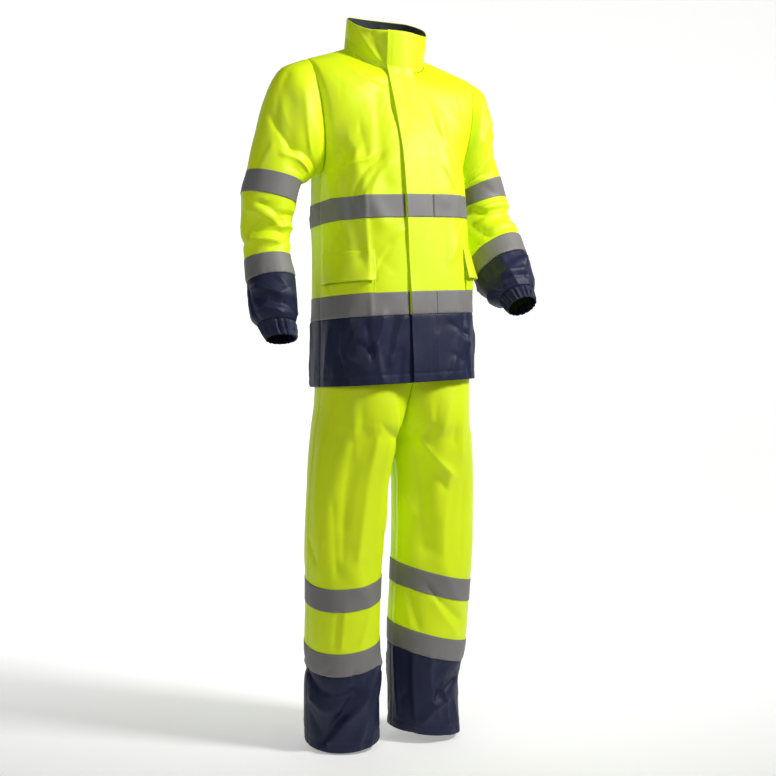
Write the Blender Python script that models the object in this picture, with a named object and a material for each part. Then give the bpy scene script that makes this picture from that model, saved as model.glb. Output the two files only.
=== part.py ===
"""Two-piece high-visibility rain suit, filled out as when worn: a jacket over trousers.

Metres, +Z up. The front faces -Y and the wearer's left side is +X. The origin is the middle of
the neck, level with the shoulders. Heights in the tables are above the trouser hem.
"""
import math

import bmesh
import bpy
import numpy as np

# Cloth
WALL = 0.0012            # coated cloth
TAPE_WALL = 0.0010       # reflective tape
SEAM = 0.0003            # gap between two pieces, and under what lies on a panel
ARM_SEAM = 0.0012        # gap where sleeve and body meet at an angle
CUFF_SEAM = 0.0009       # gap above the cuff, whose gathers swing past the sleeve's edge
COLLAR_SEAM = 0.0006     # gap round the collar, which stands at an angle to the fronts

# Heights above the trouser hem
ORIGIN = 1.545
JACKET_HEM = 0.790
NAVY_SEAM = 0.938        # jacket: lower edge of the lower tape
TAPE_WIDTH = 0.050
POCKET_FLAP_LOW = 1.014
POCKET_FLAP_TOP = 1.080
CHEST_TAPE = 1.149
ARMPIT = 1.255
FRONT_NECK = 1.478
SIDE_NECK = 1.540
BACK_NECK = 1.560
WAIST = 1.030
CROTCH = 0.665

# Jacket body below the armholes
# columns: height, half width, depth of front, depth of back, x of the middle
BODY = (
    (0.790, 0.1775, 0.148, 0.146, 0.0105),
    (0.880, 0.1760, 0.146, 0.143, 0.0100),
    (0.990, 0.1735, 0.144, 0.140, 0.0075),
    (1.100, 0.1695, 0.141, 0.137, 0.0035),
    (1.200, 0.1665, 0.138, 0.135, 0.0005),
    (1.255, 0.1655, 0.134, 0.134, 0.0000),
)
CORNER = 0.80            # how square the body is: 0.55 is an ellipse
BODY_LEAN = 0.060        # rise of the bands toward the wearer's left, per metre
YOKE_LEAN = -0.030       # the same at the shoulders
LEAN_FULL = 1.450        # height from which the shoulders' lean is full
LEAN_GONE = 1.600        # height, up the collar, where it has gone

# Armhole, an upright oval: its top on the shoulder seam and its bottom at the armpit
ARMHOLE_TOP = (0.200, 1.497)
ARMHOLE_LOW = (0.1655, 1.255)
ARMHOLE_HALF_DEPTH = 0.068
ARMHOLE_GIRTH = 0.300    # half its length

# Neck oval
NECK_HALF_WIDTH = 0.092
NECK_FRONT = -0.066
NECK_BACK = 0.106
NECK_MIDDLE = 0.024

# Yoke rows from armpit (turn 180) to shoulder seam (turn 0); the front neck is reached at 108,
# and from there the rows start on the neck seam
# columns: turn, height at the middle, depth there of front and back, then where the arc's two
# control points lie between its ends (share) and how far they stand out: lead, lead swell, trail,
# trail swell
YOKE = (
    (180.0, 1.255, 0.134, 0.134, 0.80, 0.107, 1.00, 0.107),
    (162.0, 1.310, 0.128, 0.134, 0.72, 0.080, 0.94, 0.080),
    (126.0, 1.420, 0.086, 0.124, 0.50, 0.044, 0.74, 0.052),
    (108.0, 1.478, 0.066, 0.112, 0.42, 0.030, 0.70, 0.044),
    (54.0, 1.520, 0.040, 0.060, 0.36, 0.020, 0.70, 0.026),
    (0.0, 1.540, 0.000, 0.000, 0.34, 0.000, 0.68, 0.000),
)
NECK_TURN = 108.0
YOKE_STEP = 18.0

# Collar: height and reach of its top edge at the front, side and back
# columns: turn, height, half width, y
COLLAR_TOP = (
    (0.0, 1.567, 0.090, -0.080),
    (45.0, 1.570, 0.091, -0.055),
    (90.0, 1.602, 0.092, 0.008),
    (135.0, 1.628, 0.091, 0.066),
    (180.0, 1.634, 0.090, 0.088),
)
COLLAR_STEPS = 24
LINING_LOW, LINING_HIGH = 0.08, 0.98    # shares of the collar's height
FRONT_SLIT = 0.001       # degrees beside the middle front, where the collar's two ends meet

# Storm flap: its two long edges, from hem to collar top
# columns: height, x of the free edge, x of the sewn edge
FLAP = (
    (0.790, -0.009, 0.052),
    (0.960, -0.013, 0.050),
    (1.200, -0.023, 0.042),
    (1.400, -0.030, 0.032),
    (1.600, -0.036, 0.026),
)
FLAP_STAND = 0.0012      # flap's inner side off the front

# Sleeves, from cap to wrist, in positive x, as rings that are pitched where the arm points forward
# columns: along, x and height of the ring's outer edge, x and height of its inner edge, y of its
# middle, half its depth, pitch in degrees
RIGHT_ARM = (
    (0.045, 0.258, 1.468, 0.176, 1.248, 0.002, 0.074, 0.0),
    (0.100, 0.292, 1.405, 0.188, 1.240, 0.004, 0.072, 0.0),
    (0.170, 0.315, 1.325, 0.200, 1.230, 0.006, 0.067, 0.0),
    (0.235, 0.333, 1.250, 0.212, 1.226, 0.004, 0.062, 0.0),
    (0.285, 0.344, 1.202, 0.226, 1.179, 0.006, 0.060, 0.0),
    (0.360, 0.343, 1.122, 0.235, 1.120, 0.014, 0.056, 3.0),
    (0.425, 0.339, 1.057, 0.239, 1.062, 0.002, 0.052, 12.0),
    (0.475, 0.341, 1.009, 0.234, 1.015, -0.014, 0.054, 14.0),
    (0.515, 0.342, 0.969, 0.235, 0.972, -0.028, 0.053, 16.0),
    (0.555, 0.340, 0.932, 0.239, 0.930, -0.041, 0.051, 17.0),
    (0.574, 0.328, 0.915, 0.244, 0.913, -0.047, 0.042, 17.0),
    (0.607, 0.313, 0.883, 0.244, 0.880, -0.058, 0.034, 17.0),
)
LEFT_ARM = (
    (0.045, 0.236, 1.474, 0.172, 1.248, 0.002, 0.074, 2.0),
    (0.100, 0.256, 1.405, 0.174, 1.242, 0.004, 0.072, 4.0),
    (0.170, 0.264, 1.330, 0.176, 1.236, 0.008, 0.067, 7.0),
    (0.235, 0.288, 1.270, 0.179, 1.229, 0.010, 0.062, 10.0),
    (0.285, 0.306, 1.222, 0.185, 1.190, 0.014, 0.060, 13.0),
    (0.350, 0.312, 1.167, 0.190, 1.140, 0.004, 0.062, 22.0),
    (0.405, 0.320, 1.112, 0.196, 1.080, -0.036, 0.064, 34.0),
    (0.455, 0.320, 1.066, 0.195, 1.038, -0.066, 0.064, 38.0),
    (0.495, 0.317, 1.034, 0.198, 1.010, -0.092, 0.058, 39.0),
    (0.530, 0.312, 1.004, 0.206, 0.988, -0.116, 0.050, 39.0),
    (0.549, 0.303, 0.989, 0.219, 0.981, -0.130, 0.041, 39.0),
    (0.582, 0.296, 0.963, 0.228, 0.960, -0.152, 0.033, 39.0),
)
UPPER_TAPE = (0.235, 0.285)
ARM_LOWER_TAPE = {"right": (0.425, 0.475), "left": (0.405, 0.455)}
CUFF_LENGTH = 0.033
CUFF_GATHERS = 18
CUFF_GATHER_DEPTH = 0.0016
GATHER_STEPS = 3         # points round one gather
GATHER_AT_EDGE = 0.35    # share of their depth at the cuff's edges
GATHER_DRAW = 0.4        # how far they draw the cuff in, as a share of their depth
ARM_STEPS = 20           # points round a sleeve; half of them face the front of the armhole

# Trouser legs in positive x, front or back half from inner to outer seam
# columns: height, x and depth of the inner seam, x of the outer seam, then the arc's control
# points: share of the way to the outer seam, depth, depth of the second one
HIP = (
    (1.030, 0.000, 0.120, 0.1480, 0.78, 0.120, 0.094),
    (0.930, 0.000, 0.128, 0.1640, 0.78, 0.128, 0.102),
    (0.860, 0.000, 0.124, 0.1750, 0.66, 0.142, 0.110),
    (0.800, 0.000, 0.110, 0.1748, 0.46, 0.150, 0.124),
    (0.740, 0.000, 0.080, 0.1765, 0.22, 0.162, 0.142),
    (0.700, 0.000, 0.050, 0.1800, 0.10, 0.164, 0.150),
)
RIGHT_LEG = (
    (0.665, 0.0006, 0.000, 0.1830, 0.00, 0.152, 0.152),
    (0.550, 0.0130, 0.000, 0.1905, 0.00, 0.124, 0.124),
    (0.440, 0.0220, 0.000, 0.1945, 0.00, 0.120, 0.120),
    (0.340, 0.0280, 0.000, 0.1940, 0.00, 0.117, 0.117),
    (0.200, 0.0315, 0.000, 0.1965, 0.00, 0.116, 0.116),
    (0.090, 0.0320, 0.000, 0.1970, 0.00, 0.116, 0.116),
    (0.000, 0.0310, 0.000, 0.1950, 0.00, 0.118, 0.118),
)
LEFT_LEG = (
    (0.665, 0.0006, 0.000, 0.1900, 0.00, 0.152, 0.152),
    (0.550, 0.0170, 0.000, 0.2050, 0.00, 0.126, 0.126),
    (0.440, 0.0180, 0.000, 0.2030, 0.00, 0.122, 0.122),
    (0.340, 0.0150, 0.000, 0.1960, 0.00, 0.120, 0.120),
    (0.200, 0.0080, 0.000, 0.1840, 0.00, 0.118, 0.118),
    (0.114, 0.0080, 0.000, 0.1660, 0.00, 0.108, 0.108),
    (0.000, 0.0080, 0.000, 0.1720, 0.00, 0.112, 0.112),
)
# rows: lower and upper tape; columns: lower and upper edge
LEG_TAPES = {"right": ((0.172, 0.222), (0.312, 0.362)), "left": ((0.176, 0.226), (0.316, 0.366))}
LEG_TILT = {"right": (0.14, 0.20), "left": (0.24, 0.12)}   # rise inward and rise backward
LEG_TILT_AT_HEM = {"right": 0.75, "left": 0.40}             # share of it at the hem
LEG_TILT_HEIGHTS = (0.02, 0.20, 0.45, 0.62)                 # from there, full, full, none
TROUSER_HEM = {"right": 0.002, "left": 0.001}
HIP_SHIFT = 0.0105                                          # hips toward the wearer's left
HIP_SHIFT_HEIGHTS = (0.52, 0.80)
LEG_MIDDLE = 0.105
WAISTBAND = 0.035

# Large folds: ends and size in metres on a piece's own surface, across first, then up or along.
# Across is measured from the front or back middle, and up from the hem; a trough has a minus.
# columns: across and up of one end, across and up of the other, width, depth
FRONT_FOLDS = (
    (-0.140, 0.500, -0.060, 0.350, 0.020, 0.0050),
    (-0.170, 0.455, -0.110, 0.270, 0.018, -0.0040),
    (-0.090, 0.560, -0.050, 0.430, 0.016, -0.0030),
    (0.100, 0.560, 0.060, 0.400, 0.018, 0.0035),
    (0.160, 0.480, 0.110, 0.330, 0.020, -0.0040),
    (-0.120, 0.100, -0.090, 0.005, 0.018, 0.0040),
    (0.110, 0.110, 0.090, 0.010, 0.020, 0.0035),
)
BACK_FOLDS = (
    (-0.150, 0.480, -0.080, 0.300, 0.022, -0.0050),
    (0.150, 0.500, 0.070, 0.320, 0.022, -0.0050),
    (-0.050, 0.420, -0.040, 0.200, 0.024, 0.0045),
    (0.090, 0.300, 0.060, 0.060, 0.022, 0.0040),
    (-0.110, 0.180, -0.130, 0.020, 0.020, 0.0040),
)
# Sleeve folds: across is measured round from the outer side through the front
RIGHT_ARM_FOLDS = (
    (0.020, 0.310, 0.130, 0.345, 0.011, 0.0045),
    (0.150, 0.325, 0.040, 0.375, 0.011, -0.0045),
    (0.030, 0.395, 0.150, 0.400, 0.011, 0.0040),
    (0.230, 0.340, 0.330, 0.365, 0.014, 0.0045),
    (0.060, 0.080, 0.110, 0.200, 0.018, -0.0040),
    (0.040, 0.500, 0.120, 0.525, 0.012, 0.0040),
    (0.240, 0.500, 0.320, 0.520, 0.012, 0.0040),
)
LEFT_ARM_FOLDS = (
    (0.010, 0.310, 0.110, 0.320, 0.012, 0.0055),
    (0.020, 0.345, 0.140, 0.340, 0.011, -0.0045),
    (0.040, 0.375, 0.160, 0.365, 0.011, 0.0045),
    (0.230, 0.330, 0.320, 0.350, 0.014, 0.0045),
    (0.080, 0.070, 0.100, 0.210, 0.018, -0.0045),
    (0.060, 0.480, 0.130, 0.510, 0.012, 0.0040),
    (0.240, 0.480, 0.320, 0.510, 0.012, 0.0040),
)
# Leg folds: across is measured from the inner seam round the front, up from the hem
RIGHT_LEG_FOLDS = (
    (0.090, 0.740, 0.070, 0.480, 0.020, 0.0050),
    (0.150, 0.700, 0.180, 0.500, 0.018, -0.0040),
    (0.170, 0.420, 0.110, 0.330, 0.018, 0.0040),
    (0.150, 0.110, 0.210, 0.050, 0.022, -0.0070),
    (0.040, 0.140, 0.130, 0.020, 0.016, 0.0055),
    (0.350, 0.640, 0.330, 0.400, 0.022, 0.0045),
    (0.400, 0.160, 0.380, 0.020, 0.020, 0.0050),
)
LEFT_LEG_FOLDS = (
    (0.120, 0.740, 0.100, 0.500, 0.020, 0.0050),
    (0.070, 0.620, 0.090, 0.420, 0.018, -0.0040),
    (0.120, 0.390, 0.170, 0.300, 0.018, 0.0040),
    (0.060, 0.170, 0.070, 0.020, 0.012, 0.0050),
    (0.130, 0.150, 0.160, 0.040, 0.020, -0.0060),
    (0.350, 0.620, 0.370, 0.380, 0.022, 0.0045),
    (0.400, 0.150, 0.420, 0.020, 0.020, 0.0050),
)
BODY_QUARTER = 0.265     # cloth from middle to side seam
SLEEVE_ROUND = 0.375     # cloth round a sleeve
LEG_HALF = 0.270         # cloth from inner to outer seam

# Pockets: where they start and end on each front, as shares of the way to the side seam
POCKETS = {"right": (0.30, 0.965), "left": (0.42, 0.875)}
POCKET_LIFT = (0.0004, 0.0030)             # off the front at its lower and upper edge
POCKET_FLAP_LIFT = (0.0130, 0.0060, 0.0004)
LIFT_AT_ENDS = (0.70, 0.10)                # share of a lift at its first and last column

SIDES = (("right", -1.0), ("left", 1.0))   # the wearer's right is -X

# Rows of points between the seams, as heights above the trouser hem or lengths along a sleeve
JACKET_HEM_HEIGHTS = (JACKET_HEM, 0.832, 0.886, NAVY_SEAM)
POCKET_FLAP_MIDDLE = 1.047
ABOVE_POCKET_FLAP = 1.115
BELOW_ARMPIT = 0.028
COLLAR_RISES = (0.0, 0.33, 0.67, 1.0)
FLAP_COLLAR_RISES = (0.12, 0.5, 1.0)
SLEEVE_TOP_LENGTHS = (0.0, 0.022, 0.045, 0.072, 0.100, 0.135, 0.170, 0.205)
CUFF_RISES = (0.0, 0.35, 0.75, 1.0)
LEG_END_HEIGHTS = (0.045, 0.090, 0.135)
LEG_HEIGHTS = (0.410, 0.460, 0.520, 0.580, 0.625, CROTCH, 0.700, 0.740, 0.785, 0.830, 0.885, 0.940)

# Where folds die out: below the neck and armhole seams (metres), beside the middle and side
# (shares of a front's width), under the armhole seam of a sleeve, and up the hips
NECK_CALM, NECK_CALM_U = 0.05, 0.25
ARMHOLE_CALM, ARMHOLE_CALM_U = 0.04, 0.75
SLEEVE_CALM = 0.05
HIP_CALM = (0.66, 0.78)

SURFACE_STEP = 1e-4      # step for slopes, in a surface's own units
SEARCH_STEPS = 241       # steps for finding where a given x lies on a row
SEARCH_U = 0.6           # how far from the middle front it is looked for
SEARCH_TURN = 60.0


def through(rows, at):
    """Smooth values between a table's rows, against its first column, without overshoot."""
    rows = np.asarray(sorted(rows), float)
    knots, values = rows[:, 0], rows[:, 1:]
    at = np.clip(np.asarray(at, float), knots[0], knots[-1])
    gaps = np.diff(knots)[:, None]
    slopes = np.diff(values, axis=0) / gaps
    tangents = np.zeros_like(values)
    tangents[0], tangents[-1] = slopes[0], slopes[-1]
    before, after = slopes[:-1], slopes[1:]
    same_way = before * after > 0
    safe_before = np.where(same_way, before, 1.0)
    safe_after = np.where(same_way, after, 1.0)
    mean = 2.0 / (1.0 / safe_before + 1.0 / safe_after)
    tangents[1:-1] = np.where(same_way, mean, 0.0)
    k = np.clip(np.searchsorted(knots, at, side="right") - 1, 0, len(knots) - 2)
    gap = gaps[k]
    t = ((at - knots[k]) / gap[..., 0])[..., None]
    rise = t * t * (3.0 - 2.0 * t)
    return (values[k] * (1.0 - rise) + values[k + 1] * rise
            + tangents[k] * gap * t * (1.0 - t) ** 2
            - tangents[k + 1] * gap * t * t * (1.0 - t))


def arc(controls, t):
    """Points of the cubic arcs whose four control points are rows of twelve numbers."""
    t = np.asarray(t)[..., None]
    a, b, c, d = (controls[..., 3 * i:3 * i + 3] for i in range(4))
    s = 1.0 - t
    return s ** 3 * a + 3 * s * s * t * b + 3 * s * t * t * c + t ** 3 * d


def eased(value, low, high):
    """0 below low, 1 above high, with a soft change between."""
    t = np.clip((np.asarray(value, float) - low) / (high - low), 0.0, 1.0)
    return t * t * (3.0 - 2.0 * t)


def folds(rows, across, up):
    """How far the rows' soft ridges and troughs move a point of the cloth."""
    moved = np.zeros(np.broadcast(across, up).shape)
    for across_a, up_a, across_b, up_b, width, depth in rows:
        run, climb = across_b - across_a, up_b - up_a
        share = ((across - across_a) * run + (up - up_a) * climb) / (run * run + climb * climb)
        share = np.clip(share, 0.0, 1.0)
        off = np.hypot(across - across_a - share * run, up - up_a - share * climb)
        moved = moved + depth * np.exp(-(off / width) ** 2)
    return moved


def unit(vectors):
    return vectors / np.maximum(np.linalg.norm(vectors, axis=-1, keepdims=True), 1e-12)


def facing(bare, a, b, side=1.0):
    """Outward normals of a surface, from its slopes."""
    e = SURFACE_STEP
    across = bare(a + e, b) - bare(a - e, b)
    up = bare(a, b + e) - bare(a, b - e)
    return unit(np.cross(across, up)) * side


# Jacket body: u is 0 at the middle and 1 or -1 at the side seam or armhole; v climbs the front
# from the hem to the shoulder seam and goes down the back
ARMPIT_V = ARMPIT - JACKET_HEM
SHOULDER_V = ARMPIT_V + ARMHOLE_GIRTH
NECK_V = ARMPIT_V + (1.0 - NECK_TURN / 180.0) * ARMHOLE_GIRTH


def v_at(height):
    return height - JACKET_HEM


def v_turn(turn):
    return ARMPIT_V + (1.0 - turn / 180.0) * ARMHOLE_GIRTH


def armhole(turn, way=-1.0):
    """A point of the armhole's rim: turn 0 is the shoulder, 180 the armpit; way -1 is the front."""
    angle = math.radians(turn)
    share = (1.0 + math.cos(angle)) / 2.0
    x = ARMHOLE_LOW[0] + (ARMHOLE_TOP[0] - ARMHOLE_LOW[0]) * share
    height = ARMHOLE_LOW[1] + (ARMHOLE_TOP[1] - ARMHOLE_LOW[1]) * share
    return np.array((x, way * ARMHOLE_HALF_DEPTH * math.sin(angle), height))


def neckline(turn, way=-1.0):
    """A point of the neck seam: turn 0 is the middle front or back, 90 the shoulder seam."""
    angle = math.radians(turn)
    end_y, end_height = (NECK_FRONT, FRONT_NECK) if way < 0 else (NECK_BACK, BACK_NECK)
    return np.array((NECK_HALF_WIDTH * math.sin(angle),
                     NECK_MIDDLE + (end_y - NECK_MIDDLE) * math.cos(angle),
                     SIDE_NECK + (end_height - SIDE_NECK) * math.cos(angle)))


def section(v, inner, outer, lead, lead_swell, trail, trail_swell, way):
    """A table row for one line of cloth from the middle to the side."""
    swell = np.array((0.0, way, 0.0))
    first = inner + (outer - inner) * lead + swell * lead_swell
    second = inner + (outer - inner) * trail + swell * trail_swell
    if lead == CORNER and trail == 1.0:
        first[2], second[2] = inner[2], outer[2]
    return (v, *inner, *first, *second, *outer)


def body_rows(way):
    """The jacket's lines of cloth on its front (way -1) or back (way 1), hem to shoulder."""
    rows = []
    for height, half_width, front, back, _ in BODY:
        depth = front if way < 0 else back
        inner = np.array((0.0, way * depth, height))
        outer = np.array((half_width, 0.0, height))
        rows.append(section(v_at(height), inner, outer, CORNER, CORNER * depth, 1.0,
                            CORNER * depth, way))
    for turn in np.arange(180.0 - YOKE_STEP, -1.0, -YOKE_STEP):
        height, front, back, lead, lead_swell, trail, trail_swell = through(YOKE, turn)
        if turn > NECK_TURN:
            inner = np.array((0.0, way * (front if way < 0 else back), height))
            if way > 0:
                inner[2] += (BACK_NECK - FRONT_NECK) * (height - ARMPIT) / (FRONT_NECK - ARMPIT)
        else:
            inner = neckline((NECK_TURN - turn) * 90.0 / NECK_TURN, way)
        rows.append(section(v_turn(turn), inner, armhole(turn, way), lead, lead_swell, trail,
                            trail_swell, way))
    return rows


def jacket_table():
    """All the jacket's rows: up the front, over the shoulder and down the back."""
    back = [(2.0 * SHOULDER_V - row[0], *row[1:]) for row in body_rows(1.0)
            if row[0] < SHOULDER_V]
    return body_rows(-1.0) + back


JACKET_TABLE = jacket_table()
MIDDLES = [(row[0] - JACKET_HEM, row[4]) for row in BODY]


def leaned(points):
    """Lets the shoulders fall toward the wearer's left, but not the collar's top."""
    height = points[..., 2]
    share = eased(height, ARMPIT, LEAN_FULL) * (1.0 - eased(height, SIDE_NECK, LEAN_GONE))
    made = points.copy()
    made[..., 2] += YOKE_LEAN * share * points[..., 0]
    return made


def jacket_bare(u, v):
    """The jacket body without folds."""
    u, v = np.broadcast_arrays(np.asarray(u, float), np.asarray(v, float))
    points = arc(through(JACKET_TABLE, v), np.abs(u)).copy()
    points[..., 0] *= np.sign(u) + (u == 0.0)
    up = np.minimum(v, 2.0 * SHOULDER_V - v)
    lean = BODY_LEAN * (1.0 - eased(up, v_at(CHEST_TAPE + TAPE_WIDTH), ARMPIT_V))
    points[..., 2] += lean * points[..., 0]
    points = leaned(points)
    points[..., 0] += through(MIDDLES, up)[..., 0]
    points[..., 2] -= ORIGIN
    return points


def jacket(u, v):
    """Points and outward normals of the jacket body."""
    u, v = np.broadcast_arrays(np.asarray(u, float), np.asarray(v, float))
    normals = facing(jacket_bare, u, v)
    back = v > SHOULDER_V
    up = np.where(back, 2.0 * SHOULDER_V - v, v)
    moved = np.where(back, folds(BACK_FOLDS, u * BODY_QUARTER, up),
                     folds(FRONT_FOLDS, u * BODY_QUARTER, up))
    near_neck = eased(up, NECK_V - NECK_CALM, NECK_V) * (1.0 - eased(np.abs(u), 0.0, NECK_CALM_U))
    near_armhole = (eased(up, ARMPIT_V - ARMHOLE_CALM, ARMPIT_V)
                    * eased(np.abs(u), ARMHOLE_CALM_U, 1.0))
    moved = moved * (1.0 - near_neck) * (1.0 - near_armhole)
    return jacket_bare(u, v) + normals * moved[..., None], normals


def collar_bare(turn, rise):
    """The collar: turn 0 is the middle front, 180 the back; rise 0 is the neck seam, 1 the top."""
    turn, rise = np.broadcast_arrays(np.asarray(turn, float), np.asarray(rise, float))
    around = np.abs(turn)
    angle = np.radians(around)
    front = around <= 90.0
    end_y = np.where(front, NECK_FRONT, NECK_BACK)
    end_height = np.where(front, FRONT_NECK, BACK_NECK)
    reach = np.abs(np.cos(angle))
    low = np.stack((NECK_HALF_WIDTH * np.sin(angle), NECK_MIDDLE + (end_y - NECK_MIDDLE) * reach,
                    SIDE_NECK + (end_height - SIDE_NECK) * reach), axis=-1)
    second, last_but_one = COLLAR_TOP[1], COLLAR_TOP[-2]
    mirrored = ((-second[0], *second[1:]), (360.0 - last_but_one[0], *last_but_one[1:]))
    top = through((*COLLAR_TOP, *mirrored), around)
    high = np.stack((top[..., 1] * np.sin(angle), top[..., 2], top[..., 0]), axis=-1)
    points = low + (high - low) * rise[..., None]
    points[..., 0] *= np.sign(turn) + (turn == 0.0)
    points = leaned(points)
    points[..., 2] -= ORIGIN
    return points


def collar(turn, rise):
    normals = facing(collar_bare, turn * np.ones_like(rise), rise * np.ones_like(turn))
    return collar_bare(turn, rise), normals


def arm_points(side, turn, along):
    """A sleeve without folds: turn 0 is its outer side, 90 its front; along runs to the wrist."""
    turn, along = np.broadcast_arrays(np.asarray(turn, float), np.asarray(along, float))
    table = RIGHT_ARM if side < 0 else LEFT_ARM
    cap = (0.0, *ARMHOLE_TOP, *ARMHOLE_LOW, 0.0, ARMHOLE_HALF_DEPTH, 0.0)
    ring = through((cap, *table), along)
    outer_x, outer_height, inner_x, inner_height, y, half_depth, pitch = np.moveaxis(ring, -1, 0)
    angle, pitch = np.radians(turn), np.radians(pitch)
    share = (1.0 + np.cos(angle)) / 2.0
    forward = half_depth * np.sin(angle)
    points = np.stack((inner_x + (outer_x - inner_x) * share, y - forward * np.cos(pitch),
                       inner_height + (outer_height - inner_height) * share
                       + forward * np.sin(pitch)), axis=-1)
    points[..., 0] *= side
    points = leaned(points)
    points[..., 2] -= ORIGIN
    return points


def sleeve(side):
    """A function for one sleeve's points and normals."""
    rows = RIGHT_ARM_FOLDS if side < 0 else LEFT_ARM_FOLDS

    def bare(turn, along):
        return arm_points(side, turn, along)

    def place(turn, along):
        turn, along = np.broadcast_arrays(np.asarray(turn, float), np.asarray(along, float))
        across = (np.mod(turn, 360.0)) / 360.0 * SLEEVE_ROUND
        step = SURFACE_STEP * 100.0
        normals = unit(np.cross(bare(turn + step, along) - bare(turn - step, along),
                                bare(turn, along + SURFACE_STEP)
                                - bare(turn, along - SURFACE_STEP))) * side
        moved = folds(rows, across, along) + folds(rows, across - SLEEVE_ROUND, along)
        moved = moved * eased(along, 0.0, SLEEVE_CALM)
        return bare(turn, along) + normals * moved[..., None], normals

    return place


def leg_rows(side, way):
    """The trousers' lines of cloth on one leg's front (way -1) or back (way 1)."""
    rows = []
    for height, inner_x, inner_y, outer_x, lead, lead_reach, trail_reach in (
            HIP + (RIGHT_LEG if side < 0 else LEFT_LEG)):
        inner = np.array((inner_x, way * inner_y, height))
        outer = np.array((outer_x, 0.0, height))
        first = np.array((inner_x + (outer_x - inner_x) * lead, way * lead_reach, height))
        second = np.array((outer_x, way * trail_reach, height))
        rows.append((height, *inner, *first, *second, *outer))
    return rows


def leg_points(side, tables, w, height):
    """A leg without folds: w runs 0 to 1 round the front, inner seam to outer, then 1 to 2 back."""
    w, height = np.broadcast_arrays(np.asarray(w, float), np.asarray(height, float))
    front = arc(through(tables[0], height), w)
    back = arc(through(tables[1], height), 2.0 - w)
    points = np.where((w <= 1.0)[..., None], front, back).copy()
    word = "right" if side < 0 else "left"
    inward, backward = LEG_TILT[word]
    low, full, still, gone = LEG_TILT_HEIGHTS
    share = LEG_TILT_AT_HEM[word] + (1.0 - LEG_TILT_AT_HEM[word]) * eased(height, low, full)
    share = share * (1.0 - eased(height, still, gone))
    points[..., 2] += share * (backward * points[..., 1] + inward * (LEG_MIDDLE - points[..., 0]))
    points[..., 0] *= side
    points[..., 0] += HIP_SHIFT * eased(height, *HIP_SHIFT_HEIGHTS)
    points[..., 2] -= ORIGIN
    return points


def leg(side):
    """A function for one leg's points and normals."""
    tables = (leg_rows(side, -1.0), leg_rows(side, 1.0))
    rows = RIGHT_LEG_FOLDS if side < 0 else LEFT_LEG_FOLDS

    def bare(w, height):
        return leg_points(side, tables, w, height)

    def place(w, height):
        w, height = np.broadcast_arrays(np.asarray(w, float), np.asarray(height, float))
        normals = facing(bare, w, height, side)
        moved = folds(rows, w * LEG_HALF, height) * (1.0 - eased(height, *HIP_CALM))
        return bare(w, height) + normals * moved[..., None], normals

    return place


def material(name, hex_colour, roughness):
    """A plain finish, its colour given as an sRGB hex value."""
    made = bpy.data.materials.new(name)
    made.use_nodes = True
    shader = made.node_tree.nodes["Principled BSDF"]
    channels = [int(hex_colour[i:i + 2], 16) / 255.0 for i in (1, 3, 5)]
    linear = [c / 12.92 if c <= 0.04045 else ((c + 0.055) / 1.055) ** 2.4 for c in channels]
    shader.inputs["Base Color"].default_value = (*linear, 1.0)
    shader.inputs["Roughness"].default_value = roughness
    shader.inputs["Metallic"].default_value = 0.0
    made.diffuse_color = (*linear, 1.0)
    return made


def trimmed(points, ends, edge):
    """Draws a grid's border in from its neighbours. ends: low and high column, low and high row."""
    low_column, high_column, low_row, high_row = ends
    made = points.copy()
    if low_column:
        made[:, 0] += unit(points[:, 1] - points[:, 0]) * low_column * edge
    if high_column:
        made[:, -1] += unit(points[:, -2] - points[:, -1]) * high_column * edge
    if low_row:
        made[0] += unit(points[1] - points[0]) * low_row * edge
    if high_row:
        made[-1] += unit(points[-2] - points[-1]) * high_row * edge
    return made


def wall_faces(rows, columns, first, ring=False, shared=0):
    """Faces of a closed wall between two grids that follow each other from point number first.

    Of the first column's rim, the lowest shared steps are left open, to be joined to a twin.
    """
    below = rows * columns

    def at(row, column):
        return first + row * columns + column % columns

    faces = []
    last = columns if ring else columns - 1
    for row in range(rows - 1):
        for column in range(last):
            a, b = at(row, column), at(row, column + 1)
            c, d = at(row + 1, column + 1), at(row + 1, column)
            faces += halves((a, b, c, d))
            faces += [face[::-1] for face in halves((a + below, b + below, c + below, d + below))]
    for column in range(last):
        faces += halves((at(0, column + 1), at(0, column),
                         at(0, column) + below, at(0, column + 1) + below))
        faces += halves((at(rows - 1, column), at(rows - 1, column + 1),
                         at(rows - 1, column + 1) + below, at(rows - 1, column) + below))
    if not ring:
        for row in range(rows - 1):
            low, high = at(row, 0), at(row + 1, 0)
            if row >= shared:
                faces += halves((low, high, high + below, low + below))
            low, high = at(row, columns - 1), at(row + 1, columns - 1)
            faces += halves((high, low, low + below, high + below))
    return faces


def wall_object(name, grids, finish, ring=False, shared=0):
    """A closed wall of cloth from pairs of grids, its outer points and its inner points."""
    points, faces = [], []
    for number, (outer, inner) in enumerate(grids):
        rows, columns = outer.shape[:2]
        made = wall_faces(rows, columns, len(points), ring, shared)
        faces += [face[::-1] for face in made] if number else made
        points += [tuple(p) for p in np.concatenate((outer.reshape(-1, 3), inner.reshape(-1, 3)))]
    mesh = bpy.data.meshes.new(name)
    mesh.from_pydata(points, [], faces)
    if len(grids) > 1:
        joined = bmesh.new()
        joined.from_mesh(mesh)
        bmesh.ops.remove_doubles(joined, verts=joined.verts, dist=1e-6)
        joined.to_mesh(mesh)
        joined.free()
    mesh.materials.append(finish)
    if mesh_volume(mesh) < 0.0:
        mesh.flip_normals()
    made = bpy.data.objects.new(name, mesh)
    SUIT.objects.link(made)
    return made


def halves(quad):
    a, b, c, d = quad
    return [(a, b, c), (a, c, d)]


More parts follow.
